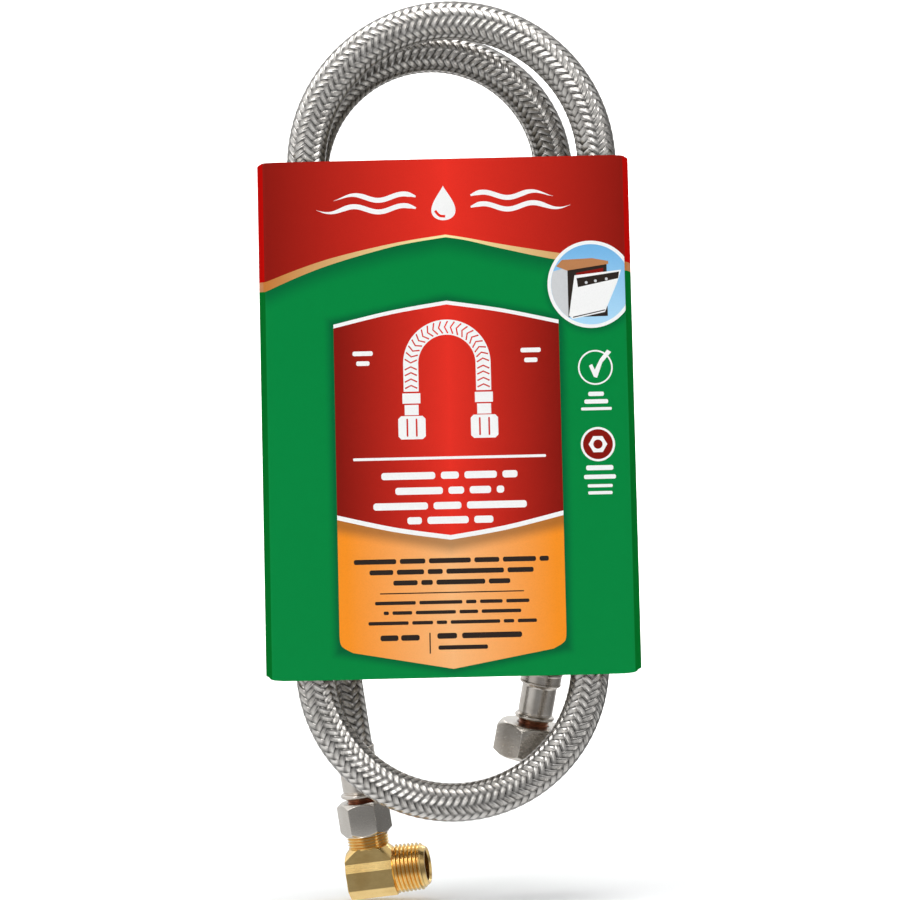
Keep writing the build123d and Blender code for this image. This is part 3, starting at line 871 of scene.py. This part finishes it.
def sleeve_path():
    """Middle of the sheet seen from above, from the outer edge of the glued lap right round to the end
    of the sheet under it: x and y in mm, distance along it counted from the middle of the front."""
    y_front, y_back = card_low[1] + CARD / 2, card_high[1] - CARD / 2
    y_mid = (y_front + y_back) / 2
    half = (y_back - y_front) / 2
    corner = 1.3

    def side(sign, down):
        """One side panel from the front fold to the back fold, bulging a little."""
        points = []
        for k in range(25):
            share = k / 24
            y = y_front + corner + (2 * half - 2 * corner) * share
            points.append((sign * (FOLD_X + SIDE_BULGE * math.sin(math.pi * share) ** 0.8), y))
        return points if down else points[::-1]

    def fold(sign, y_edge, turn):
        """A small round fold between a panel and a side."""
        points = []
        for k in range(1, 6):
            a = math.radians(90 * k / 6)
            away = corner * (1 - math.sin(a))
            rise = corner * (1 - math.cos(a))
            y = y_edge + (rise if y_edge < y_mid else -rise)
            points.append((sign * (FOLD_X - away), y))
        return points if turn else points[::-1]

    def panel(x0, x1, y, count):
        return [(x0 + (x1 - x0) * k / count, y) for k in range(count + 1)]

    inner = FOLD_X - corner
    points = panel(LAP_EDGE_X, -inner, y_back, 12)
    points += fold(-1, y_back, True)
    points += side(-1, False)
    points += fold(-1, y_front, False)
    points += panel(-inner, inner, y_front, 80)
    points += fold(1, y_front, True)
    points += side(1, True)
    points += fold(1, y_back, False)
    points += panel(inner, LAP_EDGE_X + 3, y_back, 40)
    points += panel(LAP_EDGE_X - 0.5, LAP_EDGE_X - LAP, y_back - CARD - 0.06, 8)
    path = np.array(points)
    along = np.concatenate([[0], np.cumsum(np.hypot(*np.diff(path, axis=0).T))])
    front = np.nonzero(np.abs(path[:, 1] - y_front) < 1e-6)[0]
    zero = np.interp(0, path[front, 0], along[front])
    return path, along - zero


card_path, card_along = sleeve_path()
U_FIRST, U_LAST = card_along[0], card_along[-1]
# how far round the front folds are, found among the first points to the right of the middle
right_half = np.nonzero(card_along > 0)[0][:60]
FOLD_U = float(np.interp(FOLD_X - 0.65, card_path[right_half, 0], card_along[right_half]))


def on_card(u, h, out=0.0):
    """Points of the sleeve: u mm round it from the middle of the front, h mm up, out mm from its middle."""
    u, h = np.broadcast_arrays(np.asarray(u, float), np.asarray(h, float))
    x, y = (np.interp(u, card_along, card_path[:, i]) for i in (0, 1))
    e = 0.25
    dx = np.interp(u + e, card_along, card_path[:, 0]) - np.interp(u - e, card_along, card_path[:, 0])
    dy = np.interp(u + e, card_along, card_path[:, 1]) - np.interp(u - e, card_along, card_path[:, 1])
    size = np.hypot(dx, dy)
    x = x + out * dy / size
    y = y - out * dx / size
    share = h / CARD_HEIGHT
    # the ends of the bulging side panels curve in
    past_fold = np.clip((np.abs(u) - FOLD_U + 2.5) / 6, 0, 1)
    lift = 1.3 * np.clip(1 - h / 14, 0, 1) - 0.5 * np.clip(share * 13 - 12, 0, 1)
    h = h + past_fold**2 * (3 - 2 * past_fold) * lift
    # a little wider at the bottom, and the front slightly bowed
    x = x * (1.003 - 0.013 * share)
    bow = np.clip(1 - (x / FOLD_X) ** 2, 0, 1) * 0.45
    front = np.clip((card_low[1] + 2.5 - y) / 2.5, 0, 1)
    back = np.clip((y - card_high[1] + 2.5) / 2.5, 0, 1)
    wave = 0.18 * np.sin(x * 0.047 + h * 0.031 + 1.0)
    y = y - bow * front + (bow * 0.6 + wave) * back
    return np.stack([x, y, card_low[2] + h], axis=-1) * MM


def curve(points, count=24):
    """A smooth line through a few points, as a polyline."""
    p = np.array([points[0]] + list(points) + [points[-1]], float)
    out = []
    for i in range(1, len(p) - 2):
        for k in range(count):
            t = k / count
            a = 2 * p[i]
            b = p[i + 1] - p[i - 1]
            c = 2 * p[i - 1] - 5 * p[i] + 4 * p[i + 1] - p[i + 2]
            d = -p[i - 1] + 3 * p[i] - 3 * p[i + 1] + p[i + 2]
            out.append(tuple((a + b * t + c * t * t + d * t**3) / 2))
    out.append(tuple(p[-1]))
    return out


def circle(x, h, r, count=64):
    return [(x + r * math.cos(TAU * k / count), h + r * math.sin(TAU * k / count)) for k in range(count)]


def bar_mark(x, h, width, height):
    """A rounded bar centred on x and h."""
    r = min(width, height) / 2 * 0.8
    points = []
    for k in range(16):
        a = TAU * (k + 0.5) / 16
        points.append((x + math.copysign(width / 2 - r, math.cos(a)) + r * math.cos(a),
                       h + math.copysign(height / 2 - r, math.sin(a)) + r * math.sin(a)))
    return points


def band(line, widths):
    """A strip that follows a line, as wide as widths at each of its points."""
    line = np.array(line)
    direction = np.gradient(line, axis=0)
    side = np.stack([-direction[:, 1], direction[:, 0]], axis=1)
    side /= np.linalg.norm(side, axis=1)[:, None]
    w = np.broadcast_to(np.asarray(widths, float), len(line))[:, None] / 2
    return [tuple(p) for p in line + side * w] + [tuple(p) for p in (line - side * w)[::-1]]


def droplet(x, h, size):
    """A water drop, its point up."""
    points = []
    for k in range(40):
        a = TAU * k / 40
        lift = math.sin(a / 2) ** 1.5
        points.append((x + size * 0.62 * lift * math.sin(a), h + size * 0.62 * math.cos(a)))
    return points


RULE_TOP = curve([(-62.2, 137.3), (-49.3, 142.0), (-36.2, 145.8), (-16.5, 149.9), (0.5, 152.3)], 10)
RULE_TOP += curve([(0.5, 152.3), (8, 151.0), (19.8, 148.6), (37.9, 145.4), (62.4, 141.6)], 10)[1:]
RULE_LOW = curve([(-62.2, 134.0), (-49.3, 139.4), (-36.2, 143.8), (-16.5, 148.8), (0.5, 151.4)], 10)
RULE_LOW += curve([(0.5, 151.4), (8, 150.1), (19.8, 147.1), (37.9, 143.0), (62.4, 138.6)], 10)[1:]
PLAQUE_SIDE = 38.9
PLAQUE_TOP = curve([(-38.9, 122.2), (-19, 126.6), (0.3, 129.6)], 10)
PLAQUE_TOP += curve([(0.3, 129.6), (19, 126.6), (38.9, 122.2)], 10)[1:]
CHEVRON = curve([(-38.9, 55.0), (-19, 50.4), (0, 47.4)], 10)
CHEVRON += curve([(0, 47.4), (19, 50.4), (38.9, 55.0)], 10)[1:]
PANEL_LOW = curve([(-38.9, 15.0), (-38.2, 11.6), (-34.4, 9.2)], 6) + [(0, 3.0)]
PANEL_LOW += curve([(34.4, 9.2), (38.2, 11.6), (38.9, 15.0)], 6)
# the drawing's own millimetres, against those of the sheet
DRAWN_HEIGHT = 178.4
SCALE_X, SCALE_H = 0.992, CARD_HEIGHT / DRAWN_HEIGHT
DRAWN_FOLD = FOLD_U / SCALE_X
BADGE = (50.4, 134.1)
BADGE_RADIUS = 15.0


def shifted(line, drop):
    return [(x, h - drop) for x, h in line]


def clipped(points, limit):
    return [(min(x, limit), h) for x, h in points]


def greeked(h, height, words, gap):
    """A line of plain bars where a line of print would be, centred on the panel."""
    x = -(sum(words) + gap * (len(words) - 1)) / 2
    bars = []
    for w in words:
        bars.append(bar_mark(x + w / 2, h, w, height))
        x += w + gap
    return bars


def plaque_marks(add):
    """The framed plaque, with the orange panel under it."""
    add("orange", PLAQUE_TOP + PANEL_LOW[::-1])
    add("white", PLAQUE_TOP + CHEVRON[::-1])
    add("plaque", shifted(PLAQUE_TOP, 1.3) + shifted(CHEVRON[::-1], -1.6))


def emblem_marks(add):
    """A drop between waves."""
    for sign in (-1, 1):
        for h, reach in ((165.6, 38), (161.6, 44)):
            xs = np.linspace(9.5, reach, 60)
            hs = h + np.sin((xs - 9.5) / 8.6 * math.pi)
            widths = 1.7 * np.clip((reach - xs) / 10, 0.05, 1) * np.clip((xs - 8.2) / 4, 0.3, 1)
            add("white", band(np.stack([sign * xs, hs], 1), widths))
    add("white", droplet(0, 163.2, 9.6))
    add("red", band(curve([(-2.9, 160.6), (-1.4, 158.9), (0.6, 158.6)], 8), 0.9))


def pictogram_marks(add):
    """A braided line bent into a loop, with its two fittings."""
    bend, bend_h = 12.5, 108
    nut = [(7.8, 89.2), (8.8, 90.2), (16.2, 90.2), (17.2, 89.2)]
    nut += [(17.2, 83.2), (16.2, 82.2), (8.8, 82.2), (7.8, 83.2)]
    for sign in (-1, 1):
        for near, far, top, low in ((9.4, 15.6, 98, 94.5), (10.1, 14.9, 94, 90.5)):
            add("white", [(sign * near, top), (sign * far, top), (sign * far, low), (sign * near, low)])
        add("white", [(sign * x, h) for x, h in nut])
        for x in (10.9, 14.1):
            add("plaque", bar_mark(sign * x, 86.2, 0.6, 6.2))
    arc = np.linspace(math.pi, 0, 40)
    hose = [(bend * math.cos(a), bend_h + bend * math.sin(a)) for a in arc]
    add("white", band([(-bend, 98.6)] + hose + [(bend, 98.6)], 5.2))
    for a in math.pi * (np.arange(19) + 0.5) / 19:
        line = []
        for d, e in ((-2.1, -0.55), (0, 0.55), (2.1, -0.55)):
            r = bend + d
            line.append((r * math.cos(a) - e * math.sin(a), bend_h + r * math.sin(a) + e * math.cos(a)))
        add("plaque", band(line, 0.5))
    for sign in (-1, 1):
        x = sign * bend
        for h in (100.2, 102.4, 104.6, 106.6):
            add("plaque", band([(x - 2.1, h - 0.5), (x, h + 0.5), (x + 2.1, h - 0.5)], 0.5))
    for x, h, w in ((-29, 112, 7), (-29, 108.6, 4.6), (29, 112, 7), (29, 108.6, 4.6)):
        add("white", bar_mark(x, h, w, 1.6))


def wording_marks(add):
    """Bars and rules in the place of the wording on the plaque and on the orange panel."""
    add("white", bar_mark(0.2, 75.6, 66.4, 0.95))
    for h, words in (
        (69.6, (18.6, 6.2, 11.2, 5.2)),
        (64.4, (16.4, 5.4, 7.4, 2.6)),
        (59.2, (18.8, 9.6, 20.6)),
        (54.2, (5.0, 14.2, 6.6)),
    ):
        add("white", *greeked(h, 2.5, words, 1.9))
    for h, size, words in (
        (40.3, 1.75, (14.6, 8.8, 14.4, 8.6, 11.4, 3.2)),
        (36.6, 1.75, (8.2, 9.4, 5.2, 19.8, 9.0)),
        (32.9, 1.75, (8.4, 4.0, 16.8, 7.4)),
        (26.0, 1.25, (14.0, 14.8, 3.6, 7.8, 8.0)),
        (22.6, 1.25, (1.8, 6.8, 13.8, 6.4, 13.6)),
        (19.1, 1.25, (13.8, 7.2, 3.6, 17.0, 3.6, 6.6)),
    ):
        add("black", *greeked(h, size, words, 1.2))
    add("black", bar_mark(0, 29.3, 49.4, 0.42), bar_mark(-7.9, 12.0, 0.45, 7.2))
    for x, h, w in ((-21.8, 14.0, 6.2), (-14.6, 14.0, 6.4), (-2.0, 14.4, 6.8), (13.4, 14.4, 20.6)):
        add("black", bar_mark(x, h, w, 2.0))
    add("black", bar_mark(3.4, 10.4, 17.0, 1.5))


def badge_marks(add):
    """A round badge with a built-in appliance, its door tipped open."""
    bx, bh = BADGE
    limit = DRAWN_FOLD - 0.05
    inside = BADGE_RADIUS - 1.25
    add("white", clipped(circle(bx, bh, BADGE_RADIUS, 96), limit))
    add("sky", clipped(circle(bx, bh, BADGE_RADIUS - 1.2, 96), limit))

    def within(*points):
        out = []
        for x, h in points:
            scale = min(1, inside / math.hypot(x, h))
            out.append((min(bx + x * scale, limit), bh + h * scale))
        return out

    rim = [(inside * math.cos(a), inside * math.sin(a)) for a in np.radians(np.linspace(236, 160, 16))]
    add("enamel", within((-8.0, 6.0), (-8.0, -2), (-8.0, -11.5), *rim))
    add("black", within((-8.0, 5.6), (5.6, 7.4), (5.6, -11), (-8.0, -11.2)))
    add("wood", within((-11.9, 6.4), (-8.2, 4.9), (6.2, 6.9), (6.2, 7.9), (0.6, 9.0), (-9.8, 8.6)))
    add("plaque", within((-5.0, 4.0), (4.4, 5.6), (4.4, 3.4), (-5.0, 1.4)))
    add("white", within((-5.6, 3.2), (10.6, 4.8), (9.0, 0.2), (4.6, -9.6), (-6.6, -11.8), (-7.8, -10.6)))
    add("black", within((-4.9, 2.2), (9.9, 4.2), (9.5, 1.9), (-4.5, -0.9)))
    for x in (-1.6, 1.6, 5.4):
        add("enamel", circle(bx + x, bh + 0.9 + x * 0.16, 0.5, 12))
    add("black", within((-6.4, -11.0), (4.8, -8.7), (4.6, -9.1), (-6.5, -11.4)))


def symbol_marks(add):
    """Under the badge, a tick in a ring and a nut on a disc, each with bars below it."""
    x, h = 51.2, 105.5
    add("white", circle(x, h, 6.0))
    add("green", circle(x, h, 5.45))
    tick = [(-2.2, 0.6), (-1.1, 1.2), (-0.2, -0.8), (1.6, 2.8), (4.2, 6.0)]
    tick += [(5.6, 5.2), (2.4, 1.6), (0.5, -3.6), (-0.6, -3.2)]
    add("white", [(x + dx, h + dh) for dx, dh in tick])
    for bar_h, w, size in ((96.4, 5.4, 1.5), (93.8, 8.2, 1.5), (91.3, 10.6, 1.0)):
        add("white", bar_mark(x, bar_h, w, size))
    x, h = 51.4, 79.1
    add("white", circle(x, h, 5.9))
    add("plaque", circle(x, h, 5.15))
    add("white", circle(x, h, 3.2, 6))
    add("plaque", circle(x, h, 1.6, 24))
    for bar_h, w, size in ((71.0, 9.4, 1.7), (67.9, 11.0, 1.5), (64.8, 8.6, 1.1), (62.4, 8.4, 1.1)):
        add("white", bar_mark(51.8, bar_h, w, size))


def artwork():
    """Everything printed on the front, back to front, as (outline, ink)."""
    marks = []

    def add(ink, *outlines):
        marks.extend((outline, ink) for outline in outlines)

    end = DRAWN_FOLD + 0.2
    rule_top = [(-end, RULE_TOP[0][1])] + RULE_TOP[1:-1] + [(end, RULE_TOP[-1][1])]
    rule_low = [(-end, RULE_LOW[0][1])] + RULE_LOW[1:-1] + [(end, RULE_LOW[-1][1])]
    add("red", [(-end, DRAWN_HEIGHT + 1)] + rule_top + [(end, DRAWN_HEIGHT + 1)])
    add("gold", rule_top + rule_low[::-1])
    plaque_marks(add)
    emblem_marks(add)
    pictogram_marks(add)
    wording_marks(add)
    badge_marks(add)
    symbol_marks(add)
    return marks


def side_marks():
    """The print round the folds, sides and back: red over a gold rule over green, the green darker than the
    front's as painted shade. The rules of both sides run to one height at the edge of the lap."""
    marks = []
    meet_top = (RULE_TOP[0][1] + RULE_TOP[-1][1]) / 2
    meet_low = (RULE_LOW[0][1] + RULE_LOW[-1][1]) / 2
    over = DRAWN_HEIGHT + 1
    for side, last, lap_edge in ((-1, 0, U_FIRST), (1, -1, U_LAST - LAP)):
        top, low = RULE_TOP[last][1], RULE_LOW[last][1]
        fold, lap = side * DRAWN_FOLD, lap_edge / SCALE_X
        far = lap + side * (LAP + 3)
        # painted shade: the sides and back take a darker copy of the front green
        marks.append(([(fold, -1), (far, -1), (far, over), (fold, over)], "green_side_painted_shade"))
        header = [(fold, top), (lap, meet_top), (far, meet_top), (far, over), (fold, over)]
        marks.append((header, "red_side"))
        rule = [(fold, low), (lap, meet_low), (far, meet_low)]
        marks.append((rule + [(far, meet_top), (lap, meet_top), (fold, top)], "gold"))
    return marks


def inside_outline(points, outline):
    """Which points lie inside a closed outline."""
    o = np.array(outline)
    n = np.roll(o, -1, axis=0)
    x, y = points[:, 0][:, None], points[:, 1][:, None]
    spans = (o[:, 1] > y) != (n[:, 1] > y)
    rise = np.where(n[:, 1] == o[:, 1], 1e-12, n[:, 1] - o[:, 1])
    cross = x < (n[:, 0] - o[:, 0]) * (y - o[:, 1]) / rise + o[:, 0]
    return (np.sum(spans & cross, axis=1) % 2).astype(bool)


def card_piece(inks):
    """The sheet, cut into ink areas along the outlines of the drawing, with bare board inside."""
    names = list(inks)
    drawn = side_marks() + artwork()
    marks = [([(x * SCALE_X, h * SCALE_H) for x, h in outline], ink) for outline, ink in drawn]
    verts, edges = [], []

    def add_line(points, closed=True):
        base = len(verts)
        verts.extend((float(x), float(h)) for x, h in points)
        n = len(points)
        edges.extend((base + i, base + (i + 1) % n) for i in range(n if closed else n - 1))

    def inside_sheet(points):
        return [(min(max(x, U_FIRST), U_LAST), min(max(h, 0.0), CARD_HEIGHT)) for x, h in points]

    lines_u = np.unique(np.round(np.concatenate([card_along[::2], [U_FIRST, U_LAST, -FOLD_U, FOLD_U]]), 4))
    lines_u = lines_u[np.concatenate([[True], np.diff(lines_u) > 0.2])]
    lines_h = np.linspace(0, CARD_HEIGHT, 45)
    for u in lines_u:
        if abs(u) > FOLD_U - 4 or u in (U_FIRST, U_LAST):
            add_line([(u, h) for h in (0.0, CARD_HEIGHT)], closed=False)
    for u in lines_u:
        verts.extend((float(u), float(h)) for h in lines_h)
    add_line([(U_FIRST, 0), (U_LAST, 0), (U_LAST, CARD_HEIGHT), (U_FIRST, CARD_HEIGHT)])
    for outline, _ in marks:
        add_line(inside_sheet(outline))
    co, _, tris, *_ = delaunay_2d_cdt([Vector(v) for v in verts], edges, [], 0, 1e-4)
    co = np.array([tuple(v) for v in co])
    tris = np.array([t for t in tris if len(t) == 3])
    corners = co[tris]
    area = np.cross(corners[:, 1] - corners[:, 0], corners[:, 2] - corners[:, 0])
    tris = tris[np.abs(area) > 1e-7]
    area = area[np.abs(area) > 1e-7]
    tris[area < 0] = tris[area < 0][:, ::-1]
    centres = co[tris].mean(axis=1)
    ink = np.zeros(len(tris), int)
    for outline, name in marks:
        ink[inside_outline(centres, outline)] = names.index(name)
    board = names.index("board")
    n = len(co)
    outer = on_card(co[:, 0], co[:, 1], CARD / 2)
    inner = on_card(co[:, 0], co[:, 1], -CARD / 2)
    edge_count = {}
    for t in tris:
        for i in range(3):
            pair = (t[i], t[(i + 1) % 3])
            edge_count[pair] = edge_count.get(pair, 0) + 1
    border = [(a, b) for a, b in edge_count if (b, a) not in edge_count]
    faces = tris.tolist() + [[t[2] + n, t[1] + n, t[0] + n] for t in tris.tolist()]
    faces += [[b, a, a + n, b + n] for a, b in border]
    mats = ink.tolist() + [board] * (len(tris) + len(border))
    mesh = bpy.data.meshes.new("card_sleeve_look")
    mesh.from_pydata(np.concatenate([outer, inner]).tolist(), [], faces)
    for m in inks.values():
        mesh.materials.append(m)
    mesh.polygons.foreach_set("material_index", mats)
    mesh.validate()
    bm = bmesh.new()
    bm.from_mesh(mesh)
    bmesh.ops.recalc_face_normals(bm, faces=bm.faces)
    bm.to_mesh(mesh)
    bm.free()
    finished(add_object("card_sleeve_look", mesh, 50), "card_sleeve", "card_sleeve")


def card_height(tree):
    """The drawing's millimetres across and up the sleeve, as two sockets."""
    coord = add_node(tree, "ShaderNodeTexCoord")
    split = add_node(tree, "ShaderNodeSeparateXYZ")
    tree.links.new(coord.outputs["Object"], split.inputs[0])
    x = maths(tree, "MULTIPLY", split.outputs["X"], 1000.0 / SCALE_X)
    h = maths(tree, "MULTIPLY_ADD", split.outputs["Z"], 1000.0 / SCALE_H, -card_low[2] / SCALE_H)
    return x, h


def print_shadow(tree):
    """0 to 1: soft printed shadow round the plaque and under the gold rule."""
    x, h = card_height(tree)
    across = maths(tree, "ABSOLUTE", x)
    side = maths(tree, "SUBTRACT", across, PLAQUE_SIDE)
    above = maths(tree, "SUBTRACT", h, maths(tree, "MULTIPLY_ADD", across, -0.19, 129.8))
    under = maths(tree, "SUBTRACT", maths(tree, "MULTIPLY_ADD", across, 0.176, 3.0), h)
    # mm outside the plaque, whose top and foot are near enough straight either side of the middle
    away = maths(tree, "MAXIMUM", maths(tree, "MAXIMUM", side, above), under)
    around = maths(tree, "MULTIPLY", ramp(tree, away, 3.6, -0.5), 0.75)
    # the gold rule's lower edge as a curve from 0 to 1, over a sheet 130 mm wide and 160 mm high
    wide, tall = 130, 160.0
    slope = add_node(tree, "ShaderNodeFloatCurve")
    curve_map = slope.mapping
    curve_map.use_clip = False
    points = [(p[0] / wide + 0.5, p[1] / tall) for p in RULE_LOW[::5]]
    line = curve_map.curves[0].points
    line[0].location, line[1].location = points[0], points[-1]
    for p in points[1:-1]:
        line.new(*p)
    curve_map.update()
    tree.links.new(maths(tree, "MULTIPLY_ADD", x, 1 / wide, 0.5), slope.inputs["Value"])
    below = maths(tree, "SUBTRACT", maths(tree, "MULTIPLY", slope.outputs[0], tall), h)
    rule = maths(tree, "MULTIPLY", ramp(tree, below, 7.5, 0.0), 0.6)
    badge_x = maths(tree, "SUBTRACT", x, BADGE[0])
    badge_h = maths(tree, "SUBTRACT", h, BADGE[1] - 0.5)
    far = maths(tree, "SQRT", maths(tree, "ADD", maths(tree, "MULTIPLY", badge_x, badge_x),
                                    maths(tree, "MULTIPLY", badge_h, badge_h)))
    ring = maths(tree, "MULTIPLY", ramp(tree, far, BADGE_RADIUS + 3.0, BADGE_RADIUS - 1), 0.6)
    return maths(tree, "MAXIMUM", maths(tree, "MAXIMUM", around, rule), ring)


def printed(name, colour, coat=0.03, shine=0.06):
    """Ink on coated card: colour is a colour, or a function of the tree that gives a colour socket."""
    m, tree, shader = node_material("ink_" + name)
    base = colour(tree) if callable(colour) else colour
    specks = maths(tree, "MULTIPLY", ramp(tree, noise(tree, 2500.0, 4.0), 0.35, 0.75), 0.05)
    fibre = noise(tree, 900.0, 5.0, (1.0, 1.0, 0.35))
    surface(tree, shader, mix_colour(tree, specks, base, (0, 0, 0)), fibre, 0.45, 0.07, 0.05)
    shader.inputs["Coat Weight"].default_value = coat
    shader.inputs["Coat Roughness"].default_value = 0.22
    shader.inputs["Specular IOR Level"].default_value = shine
    return m


def across_gradient(edge, centre_colour, width, middle_x, power):
    """Edge colour at width mm from the middle, running into the centre colour."""

    def build(tree):
        x, _ = card_height(tree)
        away = maths(tree, "ABSOLUTE", maths(tree, "SUBTRACT", x, middle_x))
        share = maths(tree, "POWER", maths(tree, "DIVIDE", away, width, clamp=True), power)
        return mix_colour(tree, share, centre_colour, edge)

    return build


def green_ink(tree):
    return mix_colour(tree, print_shadow(tree), GREEN, (0.0, 0.085, 0.032))


def orange_ink(tree):
    x, h = card_height(tree)
    away = maths(tree, "ABSOLUTE", x)
    share = maths(tree, "POWER", maths(tree, "DIVIDE", away, 36.0, clamp=True), 0.9)
    base = mix_colour(tree, share, (0.955, 0.485, 0.20), (0.93, 0.285, 0.018))
    depth = maths(tree, "SUBTRACT", maths(tree, "MULTIPLY_ADD", away, 0.19, 46.0), h)
    dark = maths(tree, "MULTIPLY", ramp(tree, depth, 5.0, 0.0), 0.6)
    return mix_colour(tree, dark, base, (0.16, 0.075, 0.03))


def sky_ink(tree):
    _, h = card_height(tree)
    return mix_colour(tree, ramp(tree, h, 122.0, 149.0, False), (0.42, 0.70, 0.92), (0.16, 0.45, 0.78))


GREEN = (0.0, 0.235, 0.048)
inks = {
    "green": printed("green", green_ink),
    # painted shade: a darker copy of the front green, for the sides and back
    "green_side_painted_shade": printed("green_side_painted_shade", (0.002, 0.15, 0.02), 0.0, 0.0),
    "red": printed("red", across_gradient((0.26, 0.008, 0.004), (0.83, 0.03, 0.017), 62.0, 1.0, 0.9)),
    "red_side": printed("red_side", (0.50, 0.004, 0.003), 0.0, 0.0),
    "gold": printed("gold", across_gradient((0.52, 0.17, 0.028), (1.0, 0.86, 0.42), 64.0, 0.0, 0.8)),
    "white": printed("white", (0.92, 0.92, 0.91)),
    "plaque": printed("plaque", across_gradient((0.24, 0.008, 0.004), (0.80, 0.03, 0.017), 38.0, 0.5, 0.9)),
    "orange": printed("orange", orange_ink),
    "black": printed("black", (0.028, 0.02, 0.016)),
    "sky": printed("sky", sky_ink),
    "wood": printed("wood", (0.50, 0.22, 0.09)),
    "enamel": printed("enamel", (0.62, 0.63, 0.64)),
    "board": printed("board", (0.62, 0.58, 0.51), 0.0),
}
card_piece(inks)


# ---------------------------------------------------------------- studio
low, high = (np.array(v) for v in cad_box)
middle = (low + high) / 2
paper, tree, shader = node_material("studio_paper")
shader.inputs["Roughness"].default_value = 0.9
tint = mix_colour(tree, noise(tree, 3.0, 2.0), (0.90, 0.90, 0.90), (0.93, 0.93, 0.925))
tree.links.new(tint, shader.inputs["Base Color"])

# floor that curves up into a back wall
profile = [(-3.0, 0.0)] + [
    (1.2 + 0.6 * math.sin(a), 0.6 - 0.6 * math.cos(a)) for a in np.linspace(0, math.pi / 2, 12)
] + [(1.8, 3.0)]
floor_z = low[2] - 0.0004
verts = [(x, y, z + floor_z) for x in (-3.5, 3.5) for y, z in profile]
n = len(profile)
mesh = bpy.data.meshes.new("studio_floor")
mesh.from_pydata(verts, [], [(i, i + 1, n + i + 1, n + i) for i in range(n - 1)])
mesh.materials.append(paper)
floor = add_object("studio_floor", mesh, 80)
floor.visible_glossy = False


def area_light(name, place, target, size, power):
    data = bpy.data.lights.new(name, "AREA")
    data.shape = "RECTANGLE"
    data.size, data.size_y = size
    data.energy = power
    obj = bpy.data.objects.new(name, data)
    bpy.context.scene.collection.objects.link(obj)
    obj.location = place
    direction = Vector(target) - Vector(place)
    obj.rotation_euler = direction.to_track_quat("-Z", "Y").to_euler()


area_light("key", (-0.8, -0.9, 0.9), middle, (0.45, 0.7), 4)
area_light("fill", (1.0, -0.7, 0.3), middle, (0.3, 0.9), 1.2)
area_light("top", (0.0, -0.15, 1.1), middle, (0.8, 0.5), 7)
area_light("back", (0.2, 1.0, 0.9), (0.1, 1.5, 0.2), (0.9, 0.6), 14)

world = bpy.data.worlds.new("studio")
bpy.context.scene.world = world
world.use_nodes = True
tree = world.node_tree
background = tree.nodes["Background"]
coord = add_node(tree, "ShaderNodeTexCoord")
split = add_node(tree, "ShaderNodeSeparateXYZ")
tree.links.new(coord.outputs["Generated"], split.inputs[0])
across, deep, height = (split.outputs[k] for k in "XYZ")
# what lights the paper and the print: a big box overhead, and some from both sides
glow = maths(tree, "MULTIPLY_ADD", ramp(tree, height, 0.1, 0.75), 0.66, 0.12)
glow = maths(tree, "MULTIPLY_ADD", ramp(tree, maths(tree, "ABSOLUTE", across), 0.45, 0.95), 0.18, glow)
# what the metal mirrors: bright above, below and to the left, darker in front and to the right
mirrored = maths(tree, "MULTIPLY_ADD", ramp(tree, height, 0.12, 0.5), 0.47, 0.24)
mirrored = maths(tree, "MULTIPLY_ADD", ramp(tree, height, -0.3, -0.8), 0.65, mirrored)
mirrored = maths(tree, "MULTIPLY_ADD", ramp(tree, across, -0.25, -0.8), 0.5, mirrored)
mirrored = maths(tree, "MULTIPLY_ADD", ramp(tree, across, 0.3, 0.8), -0.04, mirrored)
mirrored = maths(tree, "MULTIPLY_ADD", ramp(tree, deep, 0.55, 0.95), 0.4, mirrored)
is_mirrored = add_node(tree, "ShaderNodeLightPath").outputs["Is Glossy Ray"]
strength = maths(tree, "MULTIPLY_ADD", is_mirrored, maths(tree, "SUBTRACT", mirrored, glow), glow)
tree.links.new(mix_colour(tree, 1.0, (1, 1, 1), (0.97, 0.985, 1.0), "MULTIPLY"), background.inputs["Color"])
tree.links.new(strength, background.inputs["Strength"])

camera = bpy.data.objects.new("camera", bpy.data.cameras.new("camera"))
bpy.context.scene.collection.objects.link(camera)
bpy.context.scene.camera = camera
DISTANCE = 1.342  # from the camera to the front of the object
TRUE_DEPTH = 0.016  # behind the front, where the picture takes in FRAME_WIDTH
FRAME_WIDTH = 310.3448 * MM
AIM_X, AIM_RISE = 0.0004, 0.00095
ROLL = math.radians(1.3)
camera.data.sensor_width = 36
camera.data.lens = 36 * (DISTANCE + TRUE_DEPTH) / FRAME_WIDTH
camera.location = (AIM_X, low[1] - DISTANCE, middle[2] + AIM_RISE)
camera.rotation_euler = (math.radians(90), ROLL, 0)
bpy.context.scene.view_settings.view_transform = "Standard"
